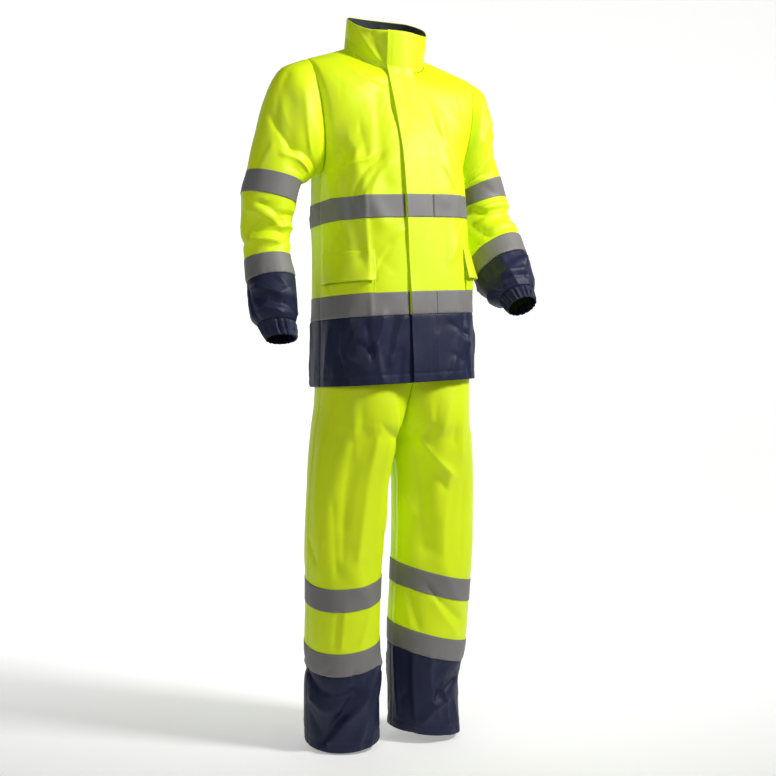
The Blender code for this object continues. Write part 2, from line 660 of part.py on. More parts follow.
def mesh_volume(mesh):
    """Signed volume: below zero when the faces point inward."""
    total = 0.0
    for face in mesh.polygons:
        a, b, c = (mesh.vertices[i].co for i in face.vertices)
        total += a.dot(b.cross(c)) / 6.0
    return total


def cloth(name, place, across, up, finish, out=0.0, wall=WALL, ring=False, ends=(1, 1, 1, 1),
          edge=SEAM / 2.0):
    """A piece of cloth over the part of a surface that the two lists span, moved out by out."""
    a, b = np.meshgrid(np.asarray(across, float), np.asarray(up, float))
    points, normals = place(a, b)
    if ring:
        ends = (0, 0, ends[2], ends[3])
    outer = trimmed(points + normals * (out + (wall if out else 0.0)), ends, edge)
    inner = trimmed(points + normals * (out if out else -wall), ends, edge)
    return wall_object(name, [(outer, inner)], finish, ring)


def clear_scene():
    for old in list(bpy.data.objects):
        bpy.data.objects.remove(old, do_unlink=True)


def tape(name, place, across, up, out=SEAM, ring=False, ends=(1, 1, 0, 0)):
    return cloth(name, place, across, up, REFLECTIVE, out=out, wall=TAPE_WALL, ring=ring, ends=ends)


# Rows that the body panels and what lies on them share
HEM_ROWS = [v_at(h) for h in JACKET_HEM_HEIGHTS]
LOWER_TAPE_ROWS = [v_at(NAVY_SEAM), v_at(NAVY_SEAM + TAPE_WIDTH)]
POCKET_ROWS = [v_at(h) for h in (NAVY_SEAM + TAPE_WIDTH, POCKET_FLAP_LOW)]
POCKET_FLAP_ROWS = [v_at(h) for h in (POCKET_FLAP_LOW, POCKET_FLAP_MIDDLE, POCKET_FLAP_TOP)]
CHEST_TAPE_ROWS = [v_at(CHEST_TAPE), v_at(CHEST_TAPE + TAPE_WIDTH)]
CHEST_ROWS = (LOWER_TAPE_ROWS + POCKET_FLAP_ROWS + [v_at(ABOVE_POCKET_FLAP)] + CHEST_TAPE_ROWS
              + [ARMPIT_V - BELOW_ARMPIT])
YOKE_ROWS = [v_turn(turn) for turn in np.arange(180.0, -1.0, -YOKE_STEP)]
FRONT_COLUMNS = list(np.linspace(0.0, 1.0, 9))
FLAP_TAPE_GAP_U = 0.003
NECK_EDGE_U = 0.001      # just beside the middle, where the rows start on the neck seam


def over(rows):
    """The same rows on the back."""
    return [2.0 * SHOULDER_V - v for v in rows]


def flap_columns(height):
    free, sewn = through(FLAP, height)
    return np.linspace(free, sewn, 4)


def on_body(xs, v):
    """Points and normals of the front at the given x along one row."""
    u = np.linspace(-SEARCH_U, SEARCH_U, SEARCH_STEPS)
    points, normals = jacket(u, np.full_like(u, v))
    where = np.interp(xs, points[:, 0], u)
    return jacket(where, np.full_like(where, v))


def on_collar(xs, rise):
    """Points and normals of the collar's front at the given x."""
    turn = np.linspace(-SEARCH_TURN, SEARCH_TURN, SEARCH_STEPS)
    points = collar_bare(turn, np.full_like(turn, rise))
    where = np.interp(xs, points[:, 0], turn)
    return collar(where, np.full_like(where, rise))


def flap_grid(rows, rises=()):
    """Points and normals of the storm flap's ground, on the front and up the collar."""
    grid = []
    for v in rows:
        height = JACKET_HEM + min(v, ARMPIT_V)
        if v > ARMPIT_V:
            height = ARMPIT + (v - ARMPIT_V) * (FRONT_NECK - ARMPIT) / (v_turn(NECK_TURN) - ARMPIT_V)
        grid.append(on_body(flap_columns(height), v))
    for rise in rises:
        height = FRONT_NECK + rise * (COLLAR_TOP[0][1] - FRONT_NECK)
        grid.append(on_collar(flap_columns(height), rise))
    return np.array([row[0] for row in grid]), np.array([row[1] for row in grid])


def laid(name, points, normals, finish, out, wall, ends=(1, 1, 1, 1), lift=None):
    """A piece that lies on others, from their points moved out.

    lift adds to it row by row, less along the first column and least along the last.
    """
    stand = np.full(points.shape[:2], out)
    if lift is not None:
        share = np.ones(points.shape[1])
        share[0], share[-1] = LIFT_AT_ENDS
        stand = stand + np.outer(lift, share)
    inner = trimmed(points + normals * stand[..., None], ends, SEAM / 2.0)
    outer = trimmed(points + normals * (stand + wall)[..., None], ends, SEAM / 2.0)
    return wall_object(name, [(outer, inner)], finish)


def storm_flap():
    """Flap over the front closing, wearer's left over right, with its own stretch of each tape."""
    neck_rows = [v for v in YOKE_ROWS if v <= v_turn(NECK_TURN) + 1e-6]
    above = [v for v in CHEST_ROWS if v > LOWER_TAPE_ROWS[0] - 1e-6]
    points, normals = flap_grid(sorted(set(above + neck_rows)), FLAP_COLLAR_RISES)
    laid("storm_flap", points, normals, YELLOW, FLAP_STAND, WALL)
    points, normals = flap_grid(HEM_ROWS)
    laid("storm_flap_hem", points, normals, NAVY, FLAP_STAND, WALL)
    for name, rows in (("storm_flap_lower_tape", LOWER_TAPE_ROWS),
                       ("storm_flap_chest_tape", CHEST_TAPE_ROWS)):
        points, normals = flap_grid(rows)
        laid(name, points, normals, REFLECTIVE, FLAP_STAND + WALL + SEAM, TAPE_WALL,
             ends=(1, 1, 0, 0))


def flap_edge_u(v, which):
    """Where a flap edge lies on a row of the front."""
    u = np.linspace(-SEARCH_U, SEARCH_U, SEARCH_STEPS)
    points = jacket_bare(u, np.full_like(u, v))
    edge = through(FLAP, JACKET_HEM + v)[which]
    return np.interp(edge, points[:, 0], u)


def front_tapes():
    """Chest and lower tape on each front, from the storm flap to the side seam, and on the back."""
    for band, rows in (("chest_tape", CHEST_TAPE_ROWS), ("lower_tape", LOWER_TAPE_ROWS)):
        for word, side, which in (("right", -1.0, 0), ("left", 1.0, 1)):
            start = max(abs(flap_edge_u(v, which)) for v in rows) + FLAP_TAPE_GAP_U
            columns = [start] + [u for u in FRONT_COLUMNS if u > start + FLAP_TAPE_GAP_U]
            tape(f"{band}_{word}", jacket, [side * u for u in columns], rows)
        grids = [half_panel(side, over(rows), (0, 1, 0, 0), SEAM, SEAM + TAPE_WALL)
                 for side in (-1.0, 1.0)]
        wall_object(f"{band}_back", grids, REFLECTIVE, shared=len(rows) - 1)


def half_panel(side, rows, ends, low=-WALL, high=0.0):
    """One half of the jacket's front or back: its outer and inner points."""
    u, v = np.meshgrid(side * np.asarray(FRONT_COLUMNS), np.asarray(rows))
    up = np.minimum(v[:, 0], 2.0 * SHOULDER_V - v[:, 0])
    u[:, 0] = np.where(up > NECK_V + 1e-6, side * NECK_EDGE_U, 0.0)
    points, normals = jacket(u, v)
    return (trimmed(points + normals * high, ends, SEAM / 2.0),
            trimmed(points + normals * low, ends, SEAM / 2.0))


def jacket_panels():
    rows = sorted(set(CHEST_ROWS + YOKE_ROWS))
    for word, side in SIDES:
        wall_object(f"jacket_front_{word}", [half_panel(side, rows, (1, 1, 1, 1))], YELLOW)
        wall_object(f"jacket_hem_front_{word}", [half_panel(side, HEM_ROWS, (1, 1, 0, 1))], NAVY)
    up_to_neck = sum(1 for v in rows if v <= NECK_V + 1e-6) - 1
    for name, rows, finish, ends, shared in (
            ("jacket_back", rows, YELLOW, (0, 1, 1, 1), up_to_neck),
            ("jacket_hem_back", HEM_ROWS, NAVY, (0, 1, 0, 1), len(HEM_ROWS) - 1)):
        halves_made = [half_panel(side, over(rows), ends) for side in (-1.0, 1.0)]
        wall_object(name, halves_made, finish, shared=shared)


def collars():
    """Stand collar and its lining, open at the middle front under the storm flap."""
    shift = np.linspace(0.0, 360.0, COLLAR_STEPS + 1)
    shift[0], shift[-1] = FRONT_SLIT, 360.0 - FRONT_SLIT

    def round_the_back(turn, rise):
        return collar(np.where(turn <= 180.0, turn, turn - 360.0), rise)

    ends = (1, 1, 1, 0)
    rises = np.array(COLLAR_RISES)
    cloth("collar", round_the_back, shift, rises, YELLOW, ends=ends, edge=COLLAR_SEAM)
    a, b = np.meshgrid(shift, LINING_LOW + rises * (LINING_HIGH - LINING_LOW))
    points, normals = round_the_back(a, b)
    outer = trimmed(points - normals * (WALL + SEAM), ends, SEAM)
    inner = trimmed(points - normals * (2.0 * WALL + SEAM), ends, SEAM)
    wall_object("collar_lining", [(outer, inner)], NAVY_LINING)


def pockets():
    """A patch pocket on each front, its mouth under a flap that stands off at its lower edge."""
    for word, side in SIDES:
        first, last = POCKETS[word]
        inner_columns = [u for u in FRONT_COLUMNS if first + 0.03 < u < last - 0.03]
        columns = [side * u for u in (first, *inner_columns, last)]
        a, b = np.meshgrid(columns, POCKET_ROWS)
        points, normals = jacket(a, b)
        laid(f"pocket_{word}", points, normals, YELLOW, SEAM, WALL, ends=(1, 1, 2, 1),
             lift=POCKET_LIFT)
        a, b = np.meshgrid(columns, POCKET_FLAP_ROWS)
        points, normals = jacket(a, b)
        laid(f"pocket_flap_{word}", points, normals, YELLOW, SEAM, WALL, lift=POCKET_FLAP_LIFT)


def sleeves():
    for word, side in SIDES:
        place = sleeve(side)
        lower = ARM_LOWER_TAPE[word]
        turns = np.arange(ARM_STEPS) * 360.0 / ARM_STEPS
        table = RIGHT_ARM if side < 0 else LEFT_ARM
        wrist = table[-1][0]
        seam = lower[1]
        elbow = np.linspace(UPPER_TAPE[1], lower[0], 7)
        rows = [*SLEEVE_TOP_LENGTHS, UPPER_TAPE[0], *elbow, seam]
        sleeve_cloth(f"sleeve_{word}", place, turns, rows, YELLOW)
        end_rows = list(np.linspace(seam, wrist - CUFF_LENGTH, 6))
        sleeve_cloth(f"sleeve_end_{word}", place, turns, end_rows, NAVY, first=SEAM / 2.0)
        tape(f"sleeve_upper_tape_{word}", place, turns, UPPER_TAPE, ring=True)
        tape(f"sleeve_lower_tape_{word}", place, turns, lower, ring=True)
        gathered_cuff(f"cuff_{word}", place, wrist)


def sleeve_cloth(name, place, turns, rows, finish, first=ARM_SEAM):
    """A tube of cloth along a sleeve, its first ring drawn in from what it is sewn to."""
    a, b = np.meshgrid(turns, rows)
    points, normals = place(a, b)
    ends_first, ends_last = (0, 0, 1, 0), (0, 0, 0, 1)
    outer = trimmed(trimmed(points, ends_first, first), ends_last, SEAM / 2.0)
    inner = trimmed(trimmed(points - normals * WALL, ends_first, first), ends_last, SEAM / 2.0)
    return wall_object(name, [(outer, inner)], finish, ring=True)


def gathered_cuff(name, place, wrist):
    """Elastic cuff, its cloth in even gathers that are deepest along its middle."""
    steps = CUFF_GATHERS * GATHER_STEPS
    turns = np.arange(steps) * 360.0 / steps
    rises = np.array(CUFF_RISES)
    a, b = np.meshgrid(turns, wrist - CUFF_LENGTH * (1.0 - rises))
    points, normals = place(a, b)
    wave = np.cos(np.radians(a * CUFF_GATHERS)) * CUFF_GATHER_DEPTH
    full = GATHER_AT_EDGE + (1.0 - GATHER_AT_EDGE) * np.sin(math.pi * rises)
    points = points + normals * (wave * full[:, None] - CUFF_GATHER_DEPTH * GATHER_DRAW)[..., None]
    outer = trimmed(points, (0, 0, 1, 0), CUFF_SEAM)
    inner = trimmed(points - normals * WALL, (0, 0, 1, 0), CUFF_SEAM)
    wall_object(name, [(outer, inner)], NAVY, ring=True)


def trousers():
    quarter = np.linspace(0.0, 1.0, 9)
    around = [*quarter, *(2.0 - quarter[-2:0:-1])]
    tops = []
    for word, side in SIDES:
        place = leg(side)
        (low, low_top), (high, high_top) = LEG_TAPES[word]
        end_rows = [TROUSER_HEM[word], *LEG_END_HEIGHTS, low]
        rows = [low, low_top, (low_top + high) / 2.0, high, high_top, *LEG_HEIGHTS,
                WAIST - WAISTBAND]
        for half, columns in (("front", quarter), ("back", 2.0 - quarter[::-1])):
            cloth(f"trouser_{half}_{word}", place, columns, rows, YELLOW)
            cloth(f"leg_end_{half}_{word}", place, columns, end_rows, NAVY)
        tape(f"leg_lower_tape_{word}", place, around, (low, low_top), ring=True)
        tape(f"leg_upper_tape_{word}", place, around, (high, high_top), ring=True)
        tops.append(place(*np.meshgrid([*around, 2.0], (WAIST - WAISTBAND, WAIST))))
    waistband(*tops)


def waistband(right, left):
    """Elastic waistband: one ring, back along the right leg's line and on along the left's."""
    points, normals = (np.concatenate((r[:, ::-1], l[:, 1:-1]), axis=1)
                       for r, l in zip(right, left))
    outer = trimmed(points, (0, 0, 1, 0), SEAM / 2.0)
    inner = trimmed(points - normals * 2.0 * WALL, (0, 0, 1, 0), SEAM / 2.0)
    wall_object("waistband", [(outer, inner)], YELLOW, ring=True)


clear_scene()
SUIT = bpy.data.collections.new("work_suit")
bpy.context.scene.collection.children.link(SUIT)
YELLOW = material("yellow_shell", "#D6F015", 0.45)
NAVY = material("navy_shell", "#22263E", 0.50)
NAVY_LINING = material("navy_lining", "#1C2036", 0.70)
REFLECTIVE = material("reflective_tape", "#8A8886", 0.40)

jacket_panels()
front_tapes()
storm_flap()
collars()
pockets()
sleeves()
trousers()
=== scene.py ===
"""Looks of a two-piece high-visibility rain suit: coated cloth, tapes, seams and stitching.

Laid out as an add-on, with its sizes and colours in the Work suit panel. Metres, +Z up, and the
suit faces -Y. Heights in the tables are above the trouser hem, as in the part.
"""
import math

import bmesh
import bpy
import numpy as np
from bpy.props import FloatProperty, PointerProperty, StringProperty
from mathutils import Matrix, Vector


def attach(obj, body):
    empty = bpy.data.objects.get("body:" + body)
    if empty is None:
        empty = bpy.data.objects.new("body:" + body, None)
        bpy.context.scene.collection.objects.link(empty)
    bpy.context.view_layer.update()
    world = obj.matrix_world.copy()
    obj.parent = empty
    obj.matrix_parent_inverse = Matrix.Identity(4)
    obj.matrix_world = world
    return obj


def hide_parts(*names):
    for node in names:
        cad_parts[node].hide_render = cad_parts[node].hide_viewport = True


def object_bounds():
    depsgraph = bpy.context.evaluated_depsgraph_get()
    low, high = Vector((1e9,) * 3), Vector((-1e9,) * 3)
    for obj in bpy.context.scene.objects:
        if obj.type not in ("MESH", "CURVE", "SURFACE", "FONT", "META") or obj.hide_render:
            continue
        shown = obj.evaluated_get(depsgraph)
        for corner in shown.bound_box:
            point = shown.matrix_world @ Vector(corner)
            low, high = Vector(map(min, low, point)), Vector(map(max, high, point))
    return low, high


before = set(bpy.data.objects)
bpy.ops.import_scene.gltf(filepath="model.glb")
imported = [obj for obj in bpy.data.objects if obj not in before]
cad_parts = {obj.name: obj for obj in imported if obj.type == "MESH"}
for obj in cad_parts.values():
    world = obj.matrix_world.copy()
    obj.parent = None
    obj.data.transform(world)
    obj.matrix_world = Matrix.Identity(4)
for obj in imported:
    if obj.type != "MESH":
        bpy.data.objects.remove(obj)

CAD_BOX = [list(corner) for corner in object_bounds()]

bl_info = {
    "name": "Work suit",
    "version": (1, 0, 0),
    "blender": (4, 5, 0),
    "location": "View3D > Sidebar > Work suit",
    "description": "Makes a high-visibility rain suit from its cut, folds and finishes",
    "category": "Add Mesh",
}

SURFACE_STEP = 1e-4         # step for slopes, in a surface's own units
TURN_STEP = 1e-2            # the same for turns in degrees
TINY = 1e-6                 # rows this close count as one

# Heights above the trouser hem (the origin is the middle of the neck)
ORIGIN = 1.545
JACKET_HEM = 0.790
NAVY_SEAM = 0.938        # jacket: lower edge of the lower tape
TAPE_WIDTH = 0.050
POCKET_FLAP_LOW = 1.014
POCKET_FLAP_TOP = 1.080
CHEST_TAPE = 1.149
ARMPIT = 1.255
FRONT_NECK = 1.478
SIDE_NECK = 1.540
BACK_NECK = 1.560
WAIST = 1.030
CROTCH = 0.665

# Jacket body below the armholes
# columns: height, half width, depth of front, depth of back, x of the middle
BODY = (
    (0.790, 0.1775, 0.148, 0.146, 0.0105),
    (0.880, 0.1760, 0.146, 0.143, 0.0100),
    (0.990, 0.1735, 0.144, 0.140, 0.0075),
    (1.100, 0.1695, 0.141, 0.137, 0.0035),
    (1.200, 0.1665, 0.138, 0.135, 0.0005),
    (1.255, 0.1655, 0.134, 0.134, 0.0000),
)
CORNER = 0.80            # how square the body is: 0.55 is an ellipse
BODY_LEAN = 0.060        # rise of the bands toward the wearer's left, per metre
YOKE_LEAN = -0.030       # the same at the shoulders
LEAN_FULL = 1.450        # height where the shoulders' lean is full
LEAN_GONE = 1.600        # and where the collar has none left

# Armhole, an upright oval: its top on the shoulder seam and its bottom at the armpit
ARMHOLE_TOP = (0.200, 1.497)
ARMHOLE_LOW = (0.1655, 1.255)
ARMHOLE_HALF_DEPTH = 0.068
ARMHOLE_GIRTH = 0.300    # half its length

# Neck oval
NECK_HALF_WIDTH = 0.092
NECK_FRONT = -0.066
NECK_BACK = 0.106
NECK_MIDDLE = 0.024

# Yoke rows from armpit (turn 180) to shoulder seam (turn 0); the front neck is reached at 108,
# and from there the rows start on the neck seam
# columns: turn, height at the middle, depth there of front and back, then where the arc's two
# control points lie between its ends (share) and how far they stand out: lead, lead swell, trail,
# trail swell
YOKE = (
    (180.0, 1.255, 0.134, 0.134, 0.80, 0.107, 1.00, 0.107),
    (162.0, 1.310, 0.128, 0.134, 0.72, 0.080, 0.94, 0.080),
    (126.0, 1.420, 0.086, 0.124, 0.50, 0.044, 0.74, 0.052),
    (108.0, 1.478, 0.066, 0.112, 0.42, 0.030, 0.70, 0.044),
    (54.0, 1.520, 0.040, 0.060, 0.36, 0.020, 0.70, 0.026),
    (0.0, 1.540, 0.000, 0.000, 0.34, 0.000, 0.68, 0.000),
)
NECK_TURN = 108.0
YOKE_STEP = 18.0

# Collar: height and reach of its top edge at the front, side and back
# columns: turn, height, half width, y
COLLAR_TOP = (
    (0.0, 1.567, 0.090, -0.080),
    (45.0, 1.570, 0.091, -0.055),
    (90.0, 1.602, 0.092, 0.008),
    (135.0, 1.628, 0.091, 0.066),
    (180.0, 1.634, 0.090, 0.088),
)

# Storm flap: its two long edges, from hem to collar top
# columns: height, x of the free edge, x of the sewn edge
FLAP = (
    (0.790, -0.009, 0.052),
    (0.960, -0.013, 0.050),
    (1.200, -0.023, 0.042),
    (1.400, -0.030, 0.032),
    (1.600, -0.036, 0.026),
)

# Sleeves, from cap to wrist, in positive x, as rings that are pitched where the arm points forward
# columns: along, x and height of the ring's outer edge, x and height of its inner edge, y of its
# middle, half its depth, pitch in degrees
RIGHT_ARM = (
    (0.045, 0.258, 1.468, 0.176, 1.248, 0.002, 0.074, 0.0),
    (0.100, 0.292, 1.405, 0.188, 1.240, 0.004, 0.072, 0.0),
    (0.170, 0.315, 1.325, 0.200, 1.230, 0.006, 0.067, 0.0),
    (0.235, 0.333, 1.250, 0.212, 1.226, 0.004, 0.062, 0.0),
    (0.285, 0.344, 1.202, 0.226, 1.179, 0.006, 0.060, 0.0),
    (0.360, 0.343, 1.122, 0.235, 1.120, 0.014, 0.056, 3.0),
    (0.425, 0.339, 1.057, 0.239, 1.062, 0.002, 0.052, 12.0),
    (0.475, 0.341, 1.009, 0.234, 1.015, -0.014, 0.054, 14.0),
    (0.515, 0.342, 0.969, 0.235, 0.972, -0.028, 0.053, 16.0),
    (0.555, 0.340, 0.932, 0.239, 0.930, -0.041, 0.051, 17.0),
    (0.574, 0.328, 0.915, 0.244, 0.913, -0.047, 0.042, 17.0),
    (0.607, 0.313, 0.883, 0.244, 0.880, -0.058, 0.034, 17.0),
)
LEFT_ARM = (
    (0.045, 0.236, 1.474, 0.172, 1.248, 0.002, 0.074, 2.0),
    (0.100, 0.256, 1.405, 0.174, 1.242, 0.004, 0.072, 4.0),
    (0.170, 0.264, 1.330, 0.176, 1.236, 0.008, 0.067, 7.0),
    (0.235, 0.288, 1.270, 0.179, 1.229, 0.010, 0.062, 10.0),
    (0.285, 0.306, 1.222, 0.185, 1.190, 0.014, 0.060, 13.0),
    (0.350, 0.312, 1.167, 0.190, 1.140, 0.004, 0.062, 22.0),
    (0.405, 0.320, 1.112, 0.196, 1.080, -0.036, 0.064, 34.0),
    (0.455, 0.320, 1.066, 0.195, 1.038, -0.066, 0.064, 38.0),
    (0.495, 0.317, 1.034, 0.198, 1.010, -0.092, 0.058, 39.0),
    (0.530, 0.312, 1.004, 0.206, 0.988, -0.116, 0.050, 39.0),
    (0.549, 0.303, 0.989, 0.219, 0.981, -0.130, 0.041, 39.0),
    (0.582, 0.296, 0.963, 0.228, 0.960, -0.152, 0.033, 39.0),
)
UPPER_TAPE = (0.235, 0.285)
ARM_LOWER_TAPE = {"right": (0.425, 0.475), "left": (0.405, 0.455)}
CUFF_LENGTH = 0.033
CUFF_GATHERS = 18
CUFF_GATHER_DEPTH = 0.0016

# Trouser legs in positive x, front or back half from inner to outer seam
# columns: height, x and depth of the inner seam, x of the outer seam, then the arc's control
# points: share of the way to the outer seam, depth, depth of the second one
HIP = (
    (1.030, 0.000, 0.120, 0.1480, 0.78, 0.120, 0.094),
    (0.930, 0.000, 0.128, 0.1640, 0.78, 0.128, 0.102),
    (0.860, 0.000, 0.124, 0.1750, 0.66, 0.142, 0.110),
    (0.800, 0.000, 0.110, 0.1748, 0.46, 0.150, 0.124),
    (0.740, 0.000, 0.080, 0.1765, 0.22, 0.162, 0.142),
    (0.700, 0.000, 0.050, 0.1800, 0.10, 0.164, 0.150),
)
RIGHT_LEG = (
    (0.665, 0.0006, 0.000, 0.1830, 0.00, 0.152, 0.152),
    (0.550, 0.0130, 0.000, 0.1905, 0.00, 0.124, 0.124),
    (0.440, 0.0220, 0.000, 0.1945, 0.00, 0.120, 0.120),
    (0.340, 0.0280, 0.000, 0.1940, 0.00, 0.117, 0.117),
    (0.200, 0.0315, 0.000, 0.1965, 0.00, 0.116, 0.116),
    (0.090, 0.0320, 0.000, 0.1970, 0.00, 0.116, 0.116),
    (0.000, 0.0310, 0.000, 0.1950, 0.00, 0.118, 0.118),
)
LEFT_LEG = (
    (0.665, 0.0006, 0.000, 0.1900, 0.00, 0.152, 0.152),
    (0.550, 0.0170, 0.000, 0.2050, 0.00, 0.126, 0.126),
    (0.440, 0.0180, 0.000, 0.2030, 0.00, 0.122, 0.122),
    (0.340, 0.0150, 0.000, 0.1960, 0.00, 0.120, 0.120),
    (0.200, 0.0080, 0.000, 0.1840, 0.00, 0.118, 0.118),
    (0.114, 0.0080, 0.000, 0.1660, 0.00, 0.108, 0.108),
    (0.000, 0.0080, 0.000, 0.1720, 0.00, 0.112, 0.112),
)
# rows: lower and upper tape; columns: lower and upper edge
LEG_TAPES = {"right": ((0.172, 0.222), (0.312, 0.362)), "left": ((0.176, 0.226), (0.316, 0.366))}
LEG_TILT = {"right": (0.14, 0.20), "left": (0.24, 0.12)}   # rise inward and rise backward
LEG_TILT_AT_HEM = {"right": 0.75, "left": 0.40}             # share of it at the hem
LEG_TILT_HEIGHTS = (0.02, 0.20, 0.45, 0.62)                 # from there, full, full, none
TROUSER_HEM = {"right": 0.002, "left": 0.001}
HIP_SHIFT = 0.0105                                          # hips toward the wearer's left
HIP_SHIFT_HEIGHTS = (0.52, 0.80)
LEG_MIDDLE = 0.105
WAISTBAND = 0.035

# Large folds: ends and size in metres on a piece's own surface, across first, then up or along.
# Across is measured from the front or back middle, and up from the hem; a trough has a minus.
# columns: across and up of one end, across and up of the other, width, depth
FRONT_FOLDS = (
    (-0.140, 0.500, -0.060, 0.350, 0.020, 0.0050),
    (-0.170, 0.455, -0.110, 0.270, 0.018, -0.0040),
    (-0.090, 0.560, -0.050, 0.430, 0.016, -0.0030),
    (0.100, 0.560, 0.060, 0.400, 0.018, 0.0035),
    (0.160, 0.480, 0.110, 0.330, 0.020, -0.0040),
    (-0.120, 0.100, -0.090, 0.005, 0.018, 0.0040),
    (0.110, 0.110, 0.090, 0.010, 0.020, 0.0035),
)
BACK_FOLDS = (
    (-0.150, 0.480, -0.080, 0.300, 0.022, -0.0050),
    (0.150, 0.500, 0.070, 0.320, 0.022, -0.0050),
    (-0.050, 0.420, -0.040, 0.200, 0.024, 0.0045),
    (0.090, 0.300, 0.060, 0.060, 0.022, 0.0040),
    (-0.110, 0.180, -0.130, 0.020, 0.020, 0.0040),
)
# Sleeve folds: across is measured round from the outer side through the front
RIGHT_ARM_FOLDS = (
    (0.020, 0.310, 0.130, 0.345, 0.011, 0.0045),
    (0.150, 0.325, 0.040, 0.375, 0.011, -0.0045),
    (0.030, 0.395, 0.150, 0.400, 0.011, 0.0040),
    (0.230, 0.340, 0.330, 0.365, 0.014, 0.0045),
    (0.060, 0.080, 0.110, 0.200, 0.018, -0.0040),
    (0.040, 0.500, 0.120, 0.525, 0.012, 0.0040),
    (0.240, 0.500, 0.320, 0.520, 0.012, 0.0040),
)
LEFT_ARM_FOLDS = (
    (0.010, 0.310, 0.110, 0.320, 0.012, 0.0055),
    (0.020, 0.345, 0.140, 0.340, 0.011, -0.0045),
    (0.040, 0.375, 0.160, 0.365, 0.011, 0.0045),
    (0.230, 0.330, 0.320, 0.350, 0.014, 0.0045),
    (0.080, 0.070, 0.100, 0.210, 0.018, -0.0045),
    (0.060, 0.480, 0.130, 0.510, 0.012, 0.0040),
    (0.240, 0.480, 0.320, 0.510, 0.012, 0.0040),
)
# Leg folds: across is measured from the inner seam round the front, up from the hem
RIGHT_LEG_FOLDS = (
    (0.090, 0.740, 0.070, 0.480, 0.020, 0.0050),
    (0.150, 0.700, 0.180, 0.500, 0.018, -0.0040),
    (0.170, 0.420, 0.110, 0.330, 0.018, 0.0040),
    (0.150, 0.110, 0.210, 0.050, 0.022, -0.0070),
    (0.040, 0.140, 0.130, 0.020, 0.016, 0.0055),
    (0.350, 0.640, 0.330, 0.400, 0.022, 0.0045),
    (0.400, 0.160, 0.380, 0.020, 0.020, 0.0050),
)
LEFT_LEG_FOLDS = (
    (0.120, 0.740, 0.100, 0.500, 0.020, 0.0050),
    (0.070, 0.620, 0.090, 0.420, 0.018, -0.0040),
    (0.120, 0.390, 0.170, 0.300, 0.018, 0.0040),
    (0.060, 0.170, 0.070, 0.020, 0.012, 0.0050),
    (0.130, 0.150, 0.160, 0.040, 0.020, -0.0060),
    (0.350, 0.620, 0.370, 0.380, 0.022, 0.0045),
    (0.400, 0.150, 0.420, 0.020, 0.020, 0.0050),
)
BODY_QUARTER = 0.265     # cloth from middle to side seam
SLEEVE_ROUND = 0.375     # cloth round a sleeve
LEG_HALF = 0.270         # cloth from inner to outer seam

# Pockets: where they start and end on each front, as shares of the way to the side seam
POCKETS = {"right": (0.30, 0.965), "left": (0.42, 0.875)}
POCKET_STAND = 0.0010                      # a pocket off the front at its lower edge
POCKET_RISE = 0.0030                       # and how much more at its mouth
# columns: share of the way down a pocket flap, how far it stands off the front
POCKET_FLAP_LIFT = ((0.0, 0.0010), (0.5, 0.0066), (1.0, 0.0135))
LIFT_LOST = (0.30, 0.75)                   # share of that lift lost at its inner and outer end
LIFT_LOST_FROM = (0.85, 0.80)              # where that begins
POCKET_FLAP_WAVE = 0.0012                  # a slight wave along its lower edge

SIDES = (("right", -1.0), ("left", 1.0))   # the wearer's right is -X


def through(rows, at):
    """Smooth values between a table's rows, against its first column, without overshoot."""
    rows = np.asarray(sorted(rows), float)
    knots, values = rows[:, 0], rows[:, 1:]
    at = np.clip(np.asarray(at, float), knots[0], knots[-1])
    gaps = np.diff(knots)[:, None]
    slopes = np.diff(values, axis=0) / gaps
    tangents = np.zeros_like(values)
    tangents[0], tangents[-1] = slopes[0], slopes[-1]
    before, after = slopes[:-1], slopes[1:]
    same_way = before * after > 0
    safe_before = np.where(same_way, before, 1.0)
    safe_after = np.where(same_way, after, 1.0)
    mean = 2.0 / (1.0 / safe_before + 1.0 / safe_after)
    tangents[1:-1] = np.where(same_way, mean, 0.0)
    k = np.clip(np.searchsorted(knots, at, side="right") - 1, 0, len(knots) - 2)
    gap = gaps[k]
    t = ((at - knots[k]) / gap[..., 0])[..., None]
    rise = t * t * (3.0 - 2.0 * t)
    return (values[k] * (1.0 - rise) + values[k + 1] * rise
            + tangents[k] * gap * t * (1.0 - t) ** 2
            - tangents[k + 1] * gap * t * t * (1.0 - t))


def arc(controls, t):
    """Points of the cubic arcs whose four control points are rows of twelve numbers."""
    t = np.asarray(t)[..., None]
    a, b, c, d = (controls[..., 3 * i:3 * i + 3] for i in range(4))
    s = 1.0 - t
    return s ** 3 * a + 3 * s * s * t * b + 3 * s * t * t * c + t ** 3 * d


def eased(value, low, high):
    """0 below low, 1 above high, with a soft change between."""
    t = np.clip((np.asarray(value, float) - low) / (high - low), 0.0, 1.0)
    return t * t * (3.0 - 2.0 * t)


def folds(rows, across, up):
    """How far the rows' soft ridges and troughs move a point of the cloth."""
    moved = np.zeros(np.broadcast(across, up).shape)
    for across_a, up_a, across_b, up_b, width, depth in rows:
        run, climb = across_b - across_a, up_b - up_a
        share = ((across - across_a) * run + (up - up_a) * climb) / (run * run + climb * climb)
        share = np.clip(share, 0.0, 1.0)
        off = np.hypot(across - across_a - share * run, up - up_a - share * climb)
        moved = moved + depth * np.exp(-(off / width) ** 2)
    return moved


def unit(vectors):
    return vectors / np.maximum(np.linalg.norm(vectors, axis=-1, keepdims=True), 1e-12)


def facing(bare, a, b, side=1.0):
    """Outward normals of a surface, from its slopes."""
    e = SURFACE_STEP
    across = bare(a + e, b) - bare(a - e, b)
    up = bare(a, b + e) - bare(a, b - e)
    return unit(np.cross(across, up)) * side


